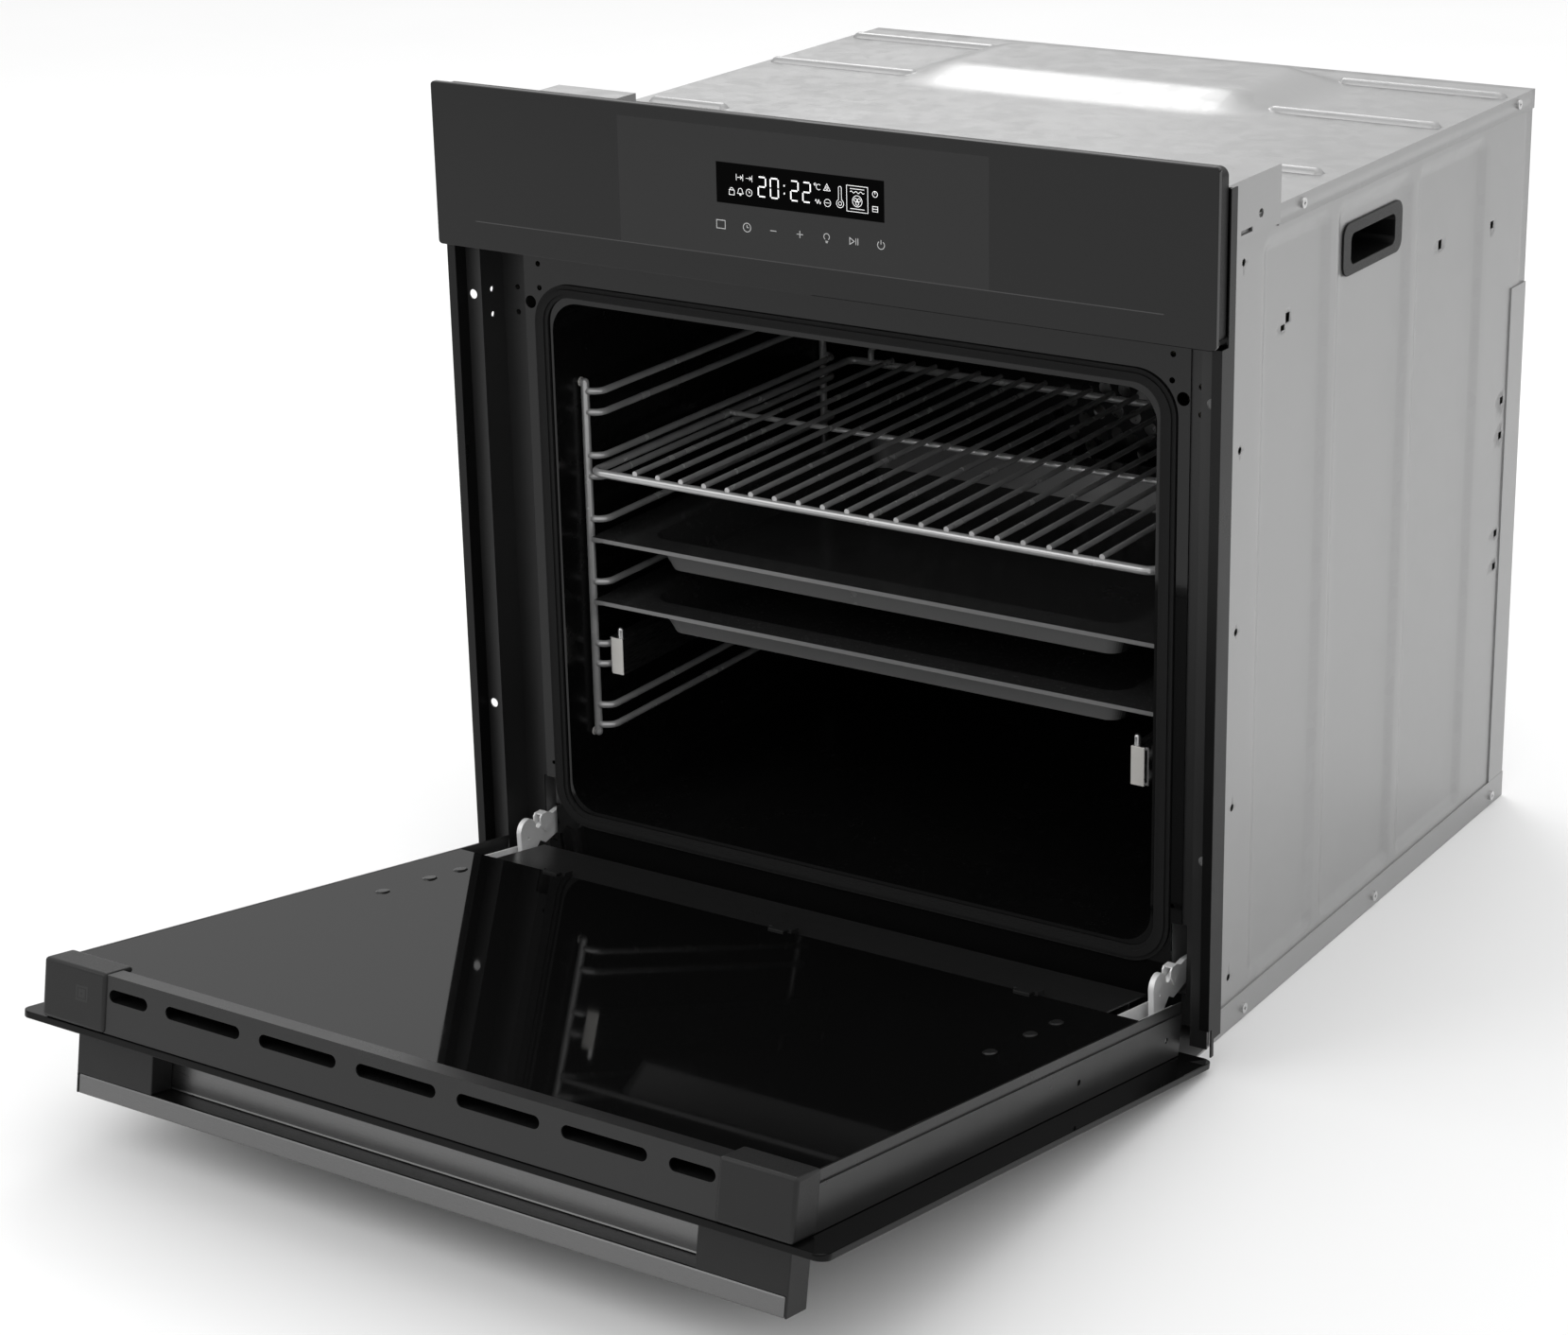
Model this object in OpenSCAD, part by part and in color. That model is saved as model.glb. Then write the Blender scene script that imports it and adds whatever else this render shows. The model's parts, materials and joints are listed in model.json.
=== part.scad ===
// Built-in electric oven with a drop-down glass door, a touch control panel,
// side racks, a wire shelf, two enamelled trays and a pair of telescopic rails.
// +X is right seen from the front, +Y is towards the rear, +Z is up.
// The origin is the middle of the casing's underside, in the plane of the
// cabinet front that the side flanges close against.

/* [Front] */
// Width of the control panel and of the door glass
front_w = 595; // [580:1:610]
// Height from the door's lower edge to the panel's upper edge
front_h = 595; // [585:1:600]
// Height of the control panel glass
panel_h = 113; // [100:1:120]
// Gap between the closed door and the control panel
panel_gap = 5.5; // [3:0.5:8]
// How far the glass faces stand in front of the cabinet front
front_off = 26; // [25:0.5:28]
// Angle that the door stands open, from closed (0) to flat (90)
door_open = 79.5; // [0:0.5:90]

/* [Casing] */
// Width over the side panels
casing_w = 556.4; // [554:0.2:558]
// Height of the casing
casing_h = 552; // [546:1:556]
// Depth behind the cabinet front
casing_d = 522; // [515:1:530]
// Thickness of the sheet metal
sheet = 1.2; // [1:0.1:1.4]
// Height of the raised blower dome above the top cover
dome_h = 12; // [8:1:20]

/* [Cavity] */
// Inner width of the oven cavity
cavity_w = 472; // [468:1:474]
// Inner height of the oven cavity
cavity_h = 380; // [376:1:384]
// Depth from the front plate to the cavity's rear wall
cavity_d = 433; // [425:1:440]
// Vertical distance between shelf levels
level_pitch = 47.4; // [46:0.2:48]
// Number of shelf levels
levels = 6; // [4:1:6]

/* [Shelf and trays] */
// Half width of the wire shelf and of the tray rims
shelf_half = 227; // [222:0.5:228]
// Depth of the shelf and of the trays
shelf_d = 345; // [320:1:350]
// Number of thin rods on the shelf
shelf_rods = 20; // [14:1:24]
// Depth of the enamelled trays
tray_depth = 24; // [18:1:28]

/* [Handle] */
// Length of the door handle
handle_w = 530; // [500:1:560]
// Distance that the handle stands out from the glass
handle_out = 46.5; // [40:0.5:50]
// Thickness of the handle
handle_t = 21; // [18:0.5:24]

/* [Hidden] */
$fn = 48;
eps = 0.01;
gap = 0.2;

// Front
half_w = front_w / 2;
front_z = casing_h + 48 - front_h;
front_top = front_z + front_h;
panel_z = front_top - panel_h;
door_h = front_h - panel_h - panel_gap;
glass_y = -front_off;
glass_t = 4.5;
panel_t = 4;
backing_d = 13;

// Casing
side_x = casing_w / 2;
plate_y = 18;
plate_half = 259;
plate_top = 500;
pan_h = 20;
bracket_d = 96;
bracket_top = front_top - 22;
recess_depth = 3;
recess_z = [26, 530];
recess_y = [[89, 168], [200, 299], [330, 429]];
grip_z = [480, 516];
grip_y = [202, 297];
rear_step_z = 409;
dome_x = 166;
dome_y = [320, 506];
dome_r = 64;

// Side flange and cabinet screws
land_y = -6;
land_in = side_x + gap;
land_out = 290.5;
flange_z = [31, 584];
skirt_z = 12;
screw_x = 285.6;
screw_z = [144, 448];
screw_r = 3.4;

// Cavity
cav_x = cavity_w / 2;
cav_z = 64;
cav_top = cav_z + cavity_h;
cav_y = plate_y + sheet;
cav_rear = plate_y + cavity_d;
cav_r = 22;
fan_z = cav_z + cavity_h / 2;
baffle_y = cav_rear - 40;
motor_y = cav_rear + 24;
lamp_x = -203;
lamp_z = cav_top - 46;

// Mains cable inlet
inlet_x = -215;
inlet_z = 494;

// Side racks
rung_r = 2.5;
post_r = 3;
post_x = cav_x - post_r - 0.5;
rung_x = 221;
rung_gap = 15.5;
first_rung = 120;
rack_y = [48, 359];
rung_bend = 9;
rack_foot = first_rung - 6;
rack_head = first_rung + (levels - 1) * level_pitch + rung_gap + 6;
function rung(level) = first_rung + level * level_pitch;

// Shelf and trays
shelf_y = 41;
rod_r = 3;
frame_bend = 8;
shelf_z = rung(4) + rung_r + rod_r + 0.3;
tray_t = 1.2;
tray_lip = 1.8;
tray_half = 193;

// Rails: web_x is the side of the fixed rail that lies against the rungs
web_x = rung_x - rung_r - 0.3;
rail_y = [47, 383];
rail_z = rung(1) - 4;
rail_h = 27;

// Door hinge
pivot_y = glass_y + 10;
pivot_z = front_z + 9;
pin_r = 3;
arm_x = [255, 259];
lever_y = 9;
lever_z = 49;
lever_pin_r = 2;
slot_x = [251.5, 262.5];
slot_z = [34, 84];

// Door section, measured inwards from the outer glass
door_half = 276;
inner_glass_k = 32.4;
inner_glass_t = 4;
fold_k = inner_glass_k + inner_glass_t + 0.1;
glass_in = glass_y + glass_t;
door_top = front_z + door_h;
handle_z = door_top - 40.5;

// ---------- helpers ----------

// A box between two corners
module slab(x, y, z) {
    translate([x[0], y[0], z[0]]) cube([x[1] - x[0], y[1] - y[0], z[1] - z[0]]);
}

module x_rod(x, y, z, r) {
    translate([x[0], y, z]) rotate([0, 90, 0]) cylinder(h = x[1] - x[0], r = r);
}

module y_rod(x, y, z, r) {
    translate([x, y[0], z]) rotate([-90, 0, 0]) cylinder(h = y[1] - y[0], r = r);
}

module z_rod(x, y, z, r) {
    translate([x, y, z[0]]) cylinder(h = z[1] - z[0], r = r);
}

module ball(x, y, z, r) {
    translate([x, y, z]) sphere(r = r);
}

// A quarter bend of round wire about a centre, from +X to +Y before it is turned
module wire_bend(x, y, z, turn, r, tube) {
    translate([x, y, z]) rotate(turn)
        rotate_extrude(angle = 90) translate([r, 0]) circle(r = tube);
}

// A flat piece drawn in X and Z, from y to y + t
module xz_plate(y, t) {
    translate([0, y + t, 0]) rotate([90, 0, 0]) linear_extrude(t) children();
}

// A flat piece drawn in Y and Z, between two X values
module yz_plate(x) {
    translate([x[0], 0, 0]) rotate([90, 0, 90]) linear_extrude(x[1] - x[0]) children();
}

// A rectangle between two corners, with round corners
module round_rect(x, y, r) {
    translate([x[0] + r, y[0]]) square([x[1] - x[0] - 2 * r, y[1] - y[0]]);
    translate([x[0], y[0] + r]) square([x[1] - x[0], y[1] - y[0] - 2 * r]);
    for (cx = [x[0] + r, x[1] - r], cy = [y[0] + r, y[1] - r])
        translate([cx, cy]) circle(r = r);
}

// The same shape on the left (-1) or on the right (1)
module on_side(side) {
    if (side > 0) children();
    else mirror([1, 0, 0]) children();
}

module both_sides() {
    on_side(-1) children();
    on_side(1) children();
}

// Door pieces are drawn closed and then swung open about the hinge pins
module on_door() {
    translate([0, pivot_y, pivot_z]) rotate([door_open, 0, 0])
        translate([0, -pivot_y, -pivot_z]) children();
}

// ---------- casing ----------

module base_pan() {
    color("lightgray") difference() {
        union() {
            slab([-side_x - sheet, side_x + sheet], [-3, casing_d + 2 * sheet], [0, sheet]);
            both_sides() slab([side_x, side_x + sheet], [20.6, casing_d + 2 * sheet],
                [0, pan_h]);
            slab([-side_x - sheet, side_x + sheet],
                [casing_d + sheet, casing_d + 2 * sheet], [0, pan_h]);
        }
        for (ix = [-3:3], iy = [0:4])
            translate([ix * 55, 140 + iy * 45, -1]) cylinder(h = 4, r = 5);
    }
}

module side_panel_shape() {
    difference() {
        union() {
            slab([side_x - sheet, side_x], [20.6, casing_d - gap], [sheet, casing_h - sheet]);
            for (r = recess_y) slab([side_x - sheet - recess_depth, side_x - sheet],
                [r[0] - sheet, r[1] + sheet], [recess_z[0] - sheet, recess_z[1] + sheet]);
        }
        for (r = recess_y) slab([side_x - recess_depth, side_x + 1], r, recess_z);
        // carrying grip
        slab([side_x - 9, side_x + 1], [grip_y[0] + 4, grip_y[1] - 4],
            [grip_z[0] + 4, grip_z[1] - 4]);
        // holes along the front edge
        for (i = [0:4]) x_rod([side_x - 5, side_x + 1], 50, 38 + i * 121.5, 2);
        // narrow slots
        for (p = [[115, 467], [122, 473], [241, 471], [368, 469], [455, 465]])
            slab([side_x - 9, side_x + 1], [p[0] - 1, p[0] + 1], [p[1] - 5, p[1] + 5]);
        for (z = [326, 299, 223, 197])
            slab([side_x - 5, side_x + 1], [488, 490], [z - 6, z + 6]);
    }
}

module side_panel_left() { color("silver") on_side(-1) side_panel_shape(); }
module side_panel_right() { color("silver") on_side(1) side_panel_shape(); }

module top_cover() {
    color("gainsboro") difference() {
        union() {
            slab([-side_x, side_x], [bracket_d + gap, casing_d + sheet],
                [casing_h - sheet, casing_h]);
            slab([-212, 212], [-8.8, bracket_d + gap], [casing_h - sheet, casing_h]);
            both_sides() slab([side_x, side_x + sheet], [bracket_d + gap, casing_d + sheet],
                [casing_h - 14, casing_h]);
            dome(0);
            // stiffening ribs
            both_sides() for (y = [361, 480]) rib(150, 270, y);
            both_sides() rib(205, 262, 188);
            both_sides() rib(60, 190, 132);
        }
        dome(-sheet - eps);
    }
}

// One contour of the raised dome over the cooling blower
module dome_contour(inset, z) {
    translate([0, 0, z]) linear_extrude(eps) round_rect([inset - dome_x, dome_x - inset],
        [dome_y[0] + inset, dome_y[1] - inset], dome_r - inset, $fn = 32);
}

module dome(lift) {
    foot = casing_h + lift;
    // inset of each contour and its share of the height
    rise = [[0, 0], [14, 0.1], [36, 0.85], [50, 1]];
    for (i = [0:2]) hull() {
        dome_contour(rise[i][0], foot + rise[i][1] * dome_h);
        dome_contour(rise[i + 1][0], foot + rise[i + 1][1] * dome_h);
    }
}

// A low half-round rib across the top cover
module rib(x0, x1, y) {
    intersection() {
        x_rod([x0, x1], y, casing_h - 1, 5);
        slab([x0, x1], [y - 6, y + 6], [casing_h - eps, casing_h + 5]);
    }
}

module rear_panel() {
    color("silver") difference() {
        union() {
            slab([-side_x, side_x], [casing_d, casing_d + sheet - gap],
                [pan_h + gap, casing_h - sheet - gap]);
            both_sides() slab([side_x, side_x + sheet], [496, casing_d + sheet - gap],
                [pan_h + gap, rear_step_z]);
            both_sides() slab([side_x - eps, side_x + sheet],
                [casing_d, casing_d + sheet - gap], [pan_h + gap, rear_step_z]);
        }
        for (i = [0:9]) slab([-140 + i * 30, -122 + i * 30], [casing_d - 1, casing_d + 3],
            [505, 535]);
        for (i = [0:7]) slab([-80, 80], [casing_d - 1, casing_d + 3],
            [fan_z - 60 + i * 16, fan_z - 56 + i * 16]);
        y_rod(inlet_x, [casing_d - 1, casing_d + 3], inlet_z, 6);
    }
}

module front_plate() {
    color("#1b1b1d") xz_plate(plate_y, sheet) difference() {
        translate([-plate_half, skirt_z]) square([2 * plate_half, plate_top - skirt_z]);
        round_rect([-cav_x, cav_x], [cav_z, cav_top], cav_r);
        for (s = [-1, 1]) {
            translate([s * (slot_x[0] + slot_x[1]) / 2, (slot_z[0] + slot_z[1]) / 2])
                square([slot_x[1] - slot_x[0], slot_z[1] - slot_z[0]], center = true);
            translate([s * 246.5, 469]) circle(r = 2);
            translate([s * 254, 441]) circle(r = 4.5);
            translate([s * 246, 452]) circle(r = 2);
            translate([s * 252, 96]) circle(r = 1.5);
        }
    }
}

module mounting_flange_shape() {
    difference() {
        union() {
            slab([land_in, land_out], [land_y, land_y + sheet], [skirt_z, flange_z[1]]);
            slab([side_x, side_x + sheet], [land_y, plate_y + 2 * sheet],
                [skirt_z, flange_z[1]]);
            slab([plate_half, side_x + eps], [plate_y + sheet, plate_y + 2 * sheet],
                [skirt_z, plate_top]);
        }
        for (z = screw_z) y_rod(screw_x, [land_y - 1, land_y + 3], z, screw_r);
        slab(slot_x, [plate_y, plate_y + 4], slot_z);
        // small rivet holes of the channel
        for (z = [450, 432]) {
            y_rod(266, [plate_y, plate_y + 4], z, 2);
            x_rod([side_x - 1, side_x + 3], 6, z, 2);
        }
    }
}

module mounting_flange_left() { color("dimgray") on_side(-1) mounting_flange_shape(); }
module mounting_flange_right() { color("dimgray") on_side(1) mounting_flange_shape(); }

module edge_trim_shape() {
    face = [half_w - sheet, half_w];
    bead_y = -17.5;
    tab_y = [-13.5, -9.7];
    union() {
        // strip beside the screws, outer face and the two sides of the bead
        slab([land_out, face[0] + eps], [land_y, land_y + sheet], flange_z);
        slab(face, [bead_y, 0], [flange_z[0], panel_z - 1]);
        slab(face, [glass_y + panel_t + backing_d + gap, 0],
            [panel_z - 1 - eps, flange_z[1]]);
        slab([land_out, land_out + sheet], [bead_y, land_y + eps],
            [flange_z[0], panel_z - 1]);
        slab([land_out, half_w], [bead_y, bead_y + sheet], [flange_z[0], panel_z - 1]);
        slab([land_out, half_w], [bead_y, land_y + sheet],
            [flange_z[0] - eps, flange_z[0] + sheet]);
        // stepped lower end with a locating tab
        slab(face, [tab_y[0], 0], [23, flange_z[0] + eps]);
        slab(face, tab_y, [11, 23 + eps]);
    }
}

module edge_trim_left() { color("#262628") on_side(-1) edge_trim_shape(); }
module edge_trim_right() { color("#262628") on_side(1) edge_trim_shape(); }

module control_brackets() {
    wall = [side_x + sheet, side_x + 2 * sheet];
    inner = [214, side_x - gap];
    color("silver") both_sides() difference() {
        union() {
            slab(wall, [gap, bracket_d], [casing_h - 12, bracket_top]);
            slab([inner[0], wall[1]], [21, bracket_d], [bracket_top - sheet, bracket_top]);
            slab(inner, [-8.8, 21 + eps], [bracket_top - sheet, bracket_top]);
            slab([inner[0], inner[0] + sheet], [-8.8, bracket_d],
                [casing_h + gap, bracket_top]);
            slab(inner, [-8.8, -8.8 + sheet], [casing_h + gap, bracket_top]);
        }
        x_rod([side_x - 1, side_x + 5], 68, casing_h, 3);
        slab([side_x - 1, side_x + 5], [40, 56], [casing_h - 9, casing_h - 6]);
    }
}

// ---------- control panel ----------

module panel_backing() {
    x_in = half_w - 2;
    color("#2c2c2e") difference() {
        xz_plate(glass_y + panel_t, backing_d)
            round_rect([-x_in, x_in], [panel_z + 2, front_top - 2.5], 6);
        // hollow for the electronics
        slab([-150, 150], [glass_y + panel_t - 1, glass_y + panel_t + backing_d - 2],
            [panel_z + 12, front_top - 10]);
        both_sides() slab([160, 285],
            [glass_y + panel_t + 3, glass_y + panel_t + backing_d + 1],
            [panel_z + 10, front_top - 10]);
    }
}

module panel_glass() {
    color("#1c1c1f") xz_plate(glass_y, panel_t)
        round_rect([-half_w, half_w], [panel_z, front_top], 3);
}

module control_board() {
    y0 = glass_y + panel_t + backing_d - 5.4;
    color("darkgreen") union() {
        slab([-146, 146], [y0, y0 + 1.6], [panel_z + 14, front_top - 12]);
        slab([92, 128], [y0 - 3, y0 + eps], [panel_z + 24, panel_z + 56]);
        slab([-128, -96], [y0 - 3.5, y0 + eps], [panel_z + 30, panel_z + 50]);
    }
}

module display_module() {
    y0 = glass_y + panel_t;
    color("#050506") union() {
        slab([-66, 66], [y0, y0 + 7.4], [panel_z + 50, panel_z + 86]);
        // one touch sensor behind each symbol
        for (i = [-3:3]) y_rod(i * 20.4, [y0, y0 + 7.4], panel_z + 33, 4);
    }
}

// ---------- cavity ----------

module cavity_section(grow) {
    round_rect([-cav_x - grow, cav_x + grow], [cav_z - grow, cav_top + grow], cav_r + grow);
}

module cavity_shell() {
    rear = cav_rear + sheet;
    color("#141416") difference() {
        union() {
            xz_plate(cav_y, rear - cav_y) cavity_section(sheet);
            xz_plate(cav_y, sheet) cavity_section(12);
        }
        xz_plate(cav_y - 1, cav_rear - cav_y + 1) cavity_section(0);
        // fan shaft, ring element ends, lamp, grill ends and probe
        y_rod(0, [cav_rear - 1, rear + 1], fan_z, 8);
        for (x = [-14, 14]) y_rod(x, [cav_rear - 1, rear + 1], fan_z + 94, 3.6);
        y_rod(lamp_x, [cav_rear - 1, rear + 1], lamp_z, 16);
        for (x = [-150, 150]) y_rod(x, [cav_rear - 1, rear + 1], cav_top - 18, 3.6);
        // rack bushes
        for (s = [-1, 1], y = rack_y, z = [rack_foot, rack_head])
            x_rod([s * cav_x - 3, s * cav_x + 3], y, z, 3.4);
    }
}

module insulation() {
    y0 = 60;
    y1 = cav_rear + 22;
    color("wheat") difference() {
        xz_plate(y0, y1 - y0)
            round_rect([-cav_x - 24, cav_x + 24], [cav_z - 26, cav_top + 26], 40);
        xz_plate(y0 - 1, cav_rear + sheet + gap - y0 + 1) cavity_section(sheet + gap);
        y_rod(0, [y0, y1 + 1], fan_z, 10);
        for (x = [-14, 14]) y_rod(x, [y0, y1 + 1], fan_z + 94, 5);
        y_rod(lamp_x, [y0, y1 + 1], lamp_z, 20);
        for (x = [-150, 150]) y_rod(x, [y0, y1 + 1], cav_top - 18, 5);
        // rack bushes
        for (s = [-1, 1], z = [rack_foot, rack_head])
            x_rod([s * (cav_x + 6) - 6, s * (cav_x + 6) + 6], rack_y[1], z, 6);
        // space of the lower heating element
        slab([-196, 196], [y0 - 1, 430], [cav_z - 20, cav_z]);
    }
}

module door_gasket() {
    color("#3a3a3d") union() {
        xz_plate(plate_y - 1.6, 1.6) difference() {
            round_rect([-250, 250], [51, 457], 30);
            round_rect([-239, 239], [61, 448], 20);
        }
        xz_plate(plate_y - 2.8, 1.3) difference() {
            round_rect([-247, 247], [54, 454], 27);
            round_rect([-242, 242], [58, 451], 23);
        }
    }
}

module fan_baffle() {
    flange_y = cav_rear - gap;
    color("#202022") difference() {
        xz_plate(baffle_y, flange_y - baffle_y)
            round_rect([-176, 176], [fan_z - 168, fan_z + 168], 22);
        xz_plate(baffle_y + sheet, flange_y - baffle_y)
            round_rect([-176 + sheet, 176 - sheet],
                [fan_z - 168 + sheet, fan_z + 168 - sheet], 22 - sheet);
        // intake in front of the fan: rings of holes
        for (ring = [0:2], i = [0:11 + 6 * ring])
            rotate_about_fan(i * 360 / (12 + 6 * ring) + 10 * ring)
                y_rod(26 + 18 * ring, [baffle_y - 1, baffle_y + 3], 0, 5.5);
        // outlet slots at the four corners
        for (sx = [-1, 1], sz = [-1, 1], i = [0:3])
            slab([sx * 138 - 22, sx * 138 + 22], [baffle_y - 1, baffle_y + 3],
                [fan_z + sz * (104 + i * 14) - 3, fan_z + sz * (104 + i * 14) + 3]);
        // outlet slots in the side walls
        for (sx = [-1, 1], i = [-3:3])
            slab([sx * 176 - 3, sx * 176 + 3], [baffle_y + 9, baffle_y + 32],
                [fan_z + i * 34 - 9, fan_z + i * 34 + 9]);
    }
}

module rotate_about_fan(angle) {
    translate([0, 0, fan_z]) rotate([0, angle, 0]) children();
}

module convection_fan() {
    y0 = baffle_y + 9;
    color("silver") difference() {
        union() {
            y_rod(0, [y0 + 14, y0 + 15.2], fan_z, 74);
            y_rod(0, [y0 + 4, y0 + 20], fan_z, 9);
            for (i = [0:11]) rotate_about_fan(i * 30)
                translate([40, y0, -0.8]) rotate([0, -18, 0]) cube([30, 14.1, 1.6]);
        }
        y_rod(0, [y0 - 1, y0 + 30], fan_z, 3.55);
    }
}

module fan_motor() {
    color("darkgray") union() {
        y_rod(0, [baffle_y + 12, motor_y + 4], fan_z, 3.5);
        y_rod(0, [motor_y, motor_y + 8], fan_z, 32);
        y_rod(0, [motor_y + 8 - eps, motor_y + 34], fan_z, 26);
        slab([-44, 44], [motor_y, motor_y + 2.5], [fan_z - 9, fan_z + 9]);
    }
}

module ring_element() {
    y0 = cav_rear - 14;
    color("dimgray") union() {
        translate([0, y0, fan_z]) rotate([90, 0, 0])
            rotate_extrude($fn = 72) translate([94, 0]) circle(r = 3.2);
        for (x = [-14, 14]) y_rod(x, [y0, cav_rear + 34], fan_z + 94, 3.2);
    }
}

// One hairpin bend of a heating element, lying flat
module bend(x, y, r, side, z, tube) {
    translate([x, y, z]) intersection() {
        rotate_extrude() translate([r, 0]) circle(r = tube);
        translate([-r - tube, side > 0 ? 0 : -r - tube, -tube])
            cube([2 * (r + tube), r + tube, 2 * tube]);
    }
}

// A row of runs along Y joined by hairpin bends
module serpentine(pitch, runs, y, z, tube) {
    x0 = -pitch * (runs - 1) / 2;
    for (i = [0:runs - 1]) y_rod(x0 + i * pitch, y, z, tube);
    for (i = [0:runs - 2])
        bend(x0 + (i + 0.5) * pitch, i % 2 == 0 ? y[0] : y[1], pitch / 2,
            i % 2 == 0 ? -1 : 1, z, tube);
}

module grill_element() {
    z = cav_top - 18;
    color("dimgray") union() {
        serpentine(60, 6, [140, 330], z, 3.2);
        both_sides() y_rod(150, [330, cav_rear + 34], z, 3.2);
        // hangers under the cavity roof
        for (x = [-90, 90]) z_rod(x, 200, [z, cav_top - gap], 2);
    }
}

module bottom_element() {
    z = cav_z - 8;
    color("dimgray") union() {
        serpentine(60, 6, [110, 330], z, 3.2);
        for (x = [-90, 90]) slab([x - 8, x + 8], [200, 216], [z, cav_z - sheet - gap]);
    }
}

module cavity_lamp() {
    color("ivory") difference() {
        union() {
            y_rod(lamp_x, [cav_rear - 22, cav_rear - gap], lamp_z, 22);
            y_rod(lamp_x, [cav_rear - gap - eps, cav_rear + 38], lamp_z, 15.5);
        }
        y_rod(lamp_x, [cav_rear - 18, cav_rear + 30], lamp_z, 13);
    }
}

// ---------- side racks ----------

module side_rack_shape() {
    for (y = rack_y) {
        z_rod(post_x, y, [rack_foot, rack_head], post_r);
        for (z = [rack_foot, rack_head]) {
            ball(post_x, y, z, post_r);
            x_rod([post_x, cav_x + 4], y, z, 2.6);
        }
    }
    xb = rung_x + rung_bend;
    yb = [rack_y[0] + rung_bend, rack_y[1] - rung_bend];
    for (level = [0:levels - 1], lift = [0, rung_gap]) {
        z = rung(level) + lift;
        for (y = rack_y) x_rod([xb, post_x], y, z, rung_r);
        y_rod(rung_x, yb, z, rung_r);
        wire_bend(xb, yb[0], z, [0, 0, 180], rung_bend, rung_r);
        wire_bend(xb, yb[1], z, [0, 0, 90], rung_bend, rung_r);
    }
}

module side_rack_left() { color("silver") on_side(-1) side_rack_shape(); }
module side_rack_right() { color("silver") on_side(1) side_rack_shape(); }

module rack_bushes() {
    color("gainsboro") both_sides()
        for (y = rack_y, z = [rack_foot, rack_head]) difference() {
            union() {
                x_rod([cav_x - 0.4, cav_x + 4.4], y, z, 3.3);
                x_rod([cav_x + sheet + 0.1, cav_x + 4.4], y, z, 5.5);
            }
            x_rod([cav_x - 1, cav_x + 6], y, z, 2.65);
        }
}

// ---------- cooling blower and electrics ----------

module cooling_fan() {
    z0 = casing_h - 34;
    color("#c8c8c4") difference() {
        union() {
            z_rod(0, 420, [z0, z0 + 1.6], 66);
            z_rod(0, 420, [z0, z0 + 14], 10);
            for (i = [0:23]) translate([0, 420, z0]) rotate([0, 0, i * 15])
                translate([50, -0.7, 0]) cube([14, 1.4, 28]);
        }
        z_rod(0, 420, [z0 - 1, z0 + 20], 3.05);
    }
}

module cooling_duct() {
    z0 = casing_h - 42;
    z1 = casing_h - sheet - gap;
    color("gainsboro") difference() {
        union() {
            z_rod(0, 420, [z0, z1], 88);
            slab([-150, 150], [90, 350], [z0, z1]);
        }
        z_rod(0, 420, [z0 + sheet, z1 - sheet], 86.5);
        slab([-148.5, 148.5], [88, 352], [z0 + sheet, z1 - sheet]);
        z_rod(0, 420, [z0 + sheet, z1 + 1], 60);
        z_rod(0, 420, [z0 - 1, z1 + 1], 6);
    }
}

module cooling_motor() {
    z0 = casing_h - 19.6;
    z1 = z0 + 24;
    color("darkgray") union() {
        z_rod(0, 420, [casing_h - 36, z0 + 2], 3);
        z_rod(0, 420, [z0, z1], 26);
        slab([-78, 78], [412, 428], [z1 - eps, z1 + 2.5]);
        both_sides() slab([76, 78], [412, 428], [casing_h - sheet, z1 + 2.5]);
    }
}

module terminal_block() {
    color("#e6e6e0") difference() {
        union() {
            slab([-245, -185], [480, casing_d - gap], [478, 530]);
            slab([-240, -190], [casing_d + sheet, casing_d + sheet + 3], [482, 526]);
        }
        y_rod(inlet_x, [470, casing_d + 8], inlet_z, 6);
        for (i = [0:2]) y_rod(-230 + i * 15, [470, 500], 516, 3);
    }
}

module carry_grips() {
    x_in = side_x - 34;
    rim_x = side_x - recess_depth;
    color("#151516") both_sides() difference() {
        union() {
            yz_plate([rim_x + gap, rim_x + 1.6]) round_rect(grip_y, grip_z, 9);
            slab([x_in, rim_x + 0.3], [grip_y[0] + 4 + gap, grip_y[1] - 4 - gap],
                [grip_z[0] + 4 + gap, grip_z[1] - 4 - gap]);
        }
        yz_plate([x_in + 2, side_x + 1])
            round_rect([grip_y[0] + 12, grip_y[1] - 12], [grip_z[0] + 7, grip_z[1] - 8], 5);
    }
}

module hinge_receivers() {
    color("silver") both_sides() {
        difference() {
            slab([250.2, 265], [plate_y + 2 * sheet + 0.1, 56], [26, 92]);
            slab([slot_x[0], slot_x[1]], [plate_y, 54], [28, 90]);
        }
        // bar that the hinge arm hooks over
        x_rod([slot_x[0] - eps, slot_x[1] + eps], 30, 44, 2.5);
    }
}

module screw_head(r, h) {
    difference() {
        cylinder(h = h, r = r);
        for (a = [0, 90]) rotate([0, 0, a])
            translate([-0.4 * r, -0.12 * r, h - 0.8]) cube([0.8 * r, 0.24 * r, 2]);
    }
}

module case_screws() {
    color("silver") both_sides() {
        for (p = [[130, casing_h - 6], [491, casing_h - 6]])
            translate([side_x + sheet, p[0], p[1]]) rotate([0, 90, 0]) screw_head(3.5, 2);
        for (y = [70, 282, 500])
            translate([side_x + sheet, y, 8]) rotate([0, 90, 0]) screw_head(3.5, 2);
        for (z = [60, 230, 380])
            translate([side_x - 12, casing_d + sheet - gap, z]) rotate([-90, 0, 0])
                screw_head(3.5, 2);
    }
}

// ---------- hinge ----------

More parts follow.
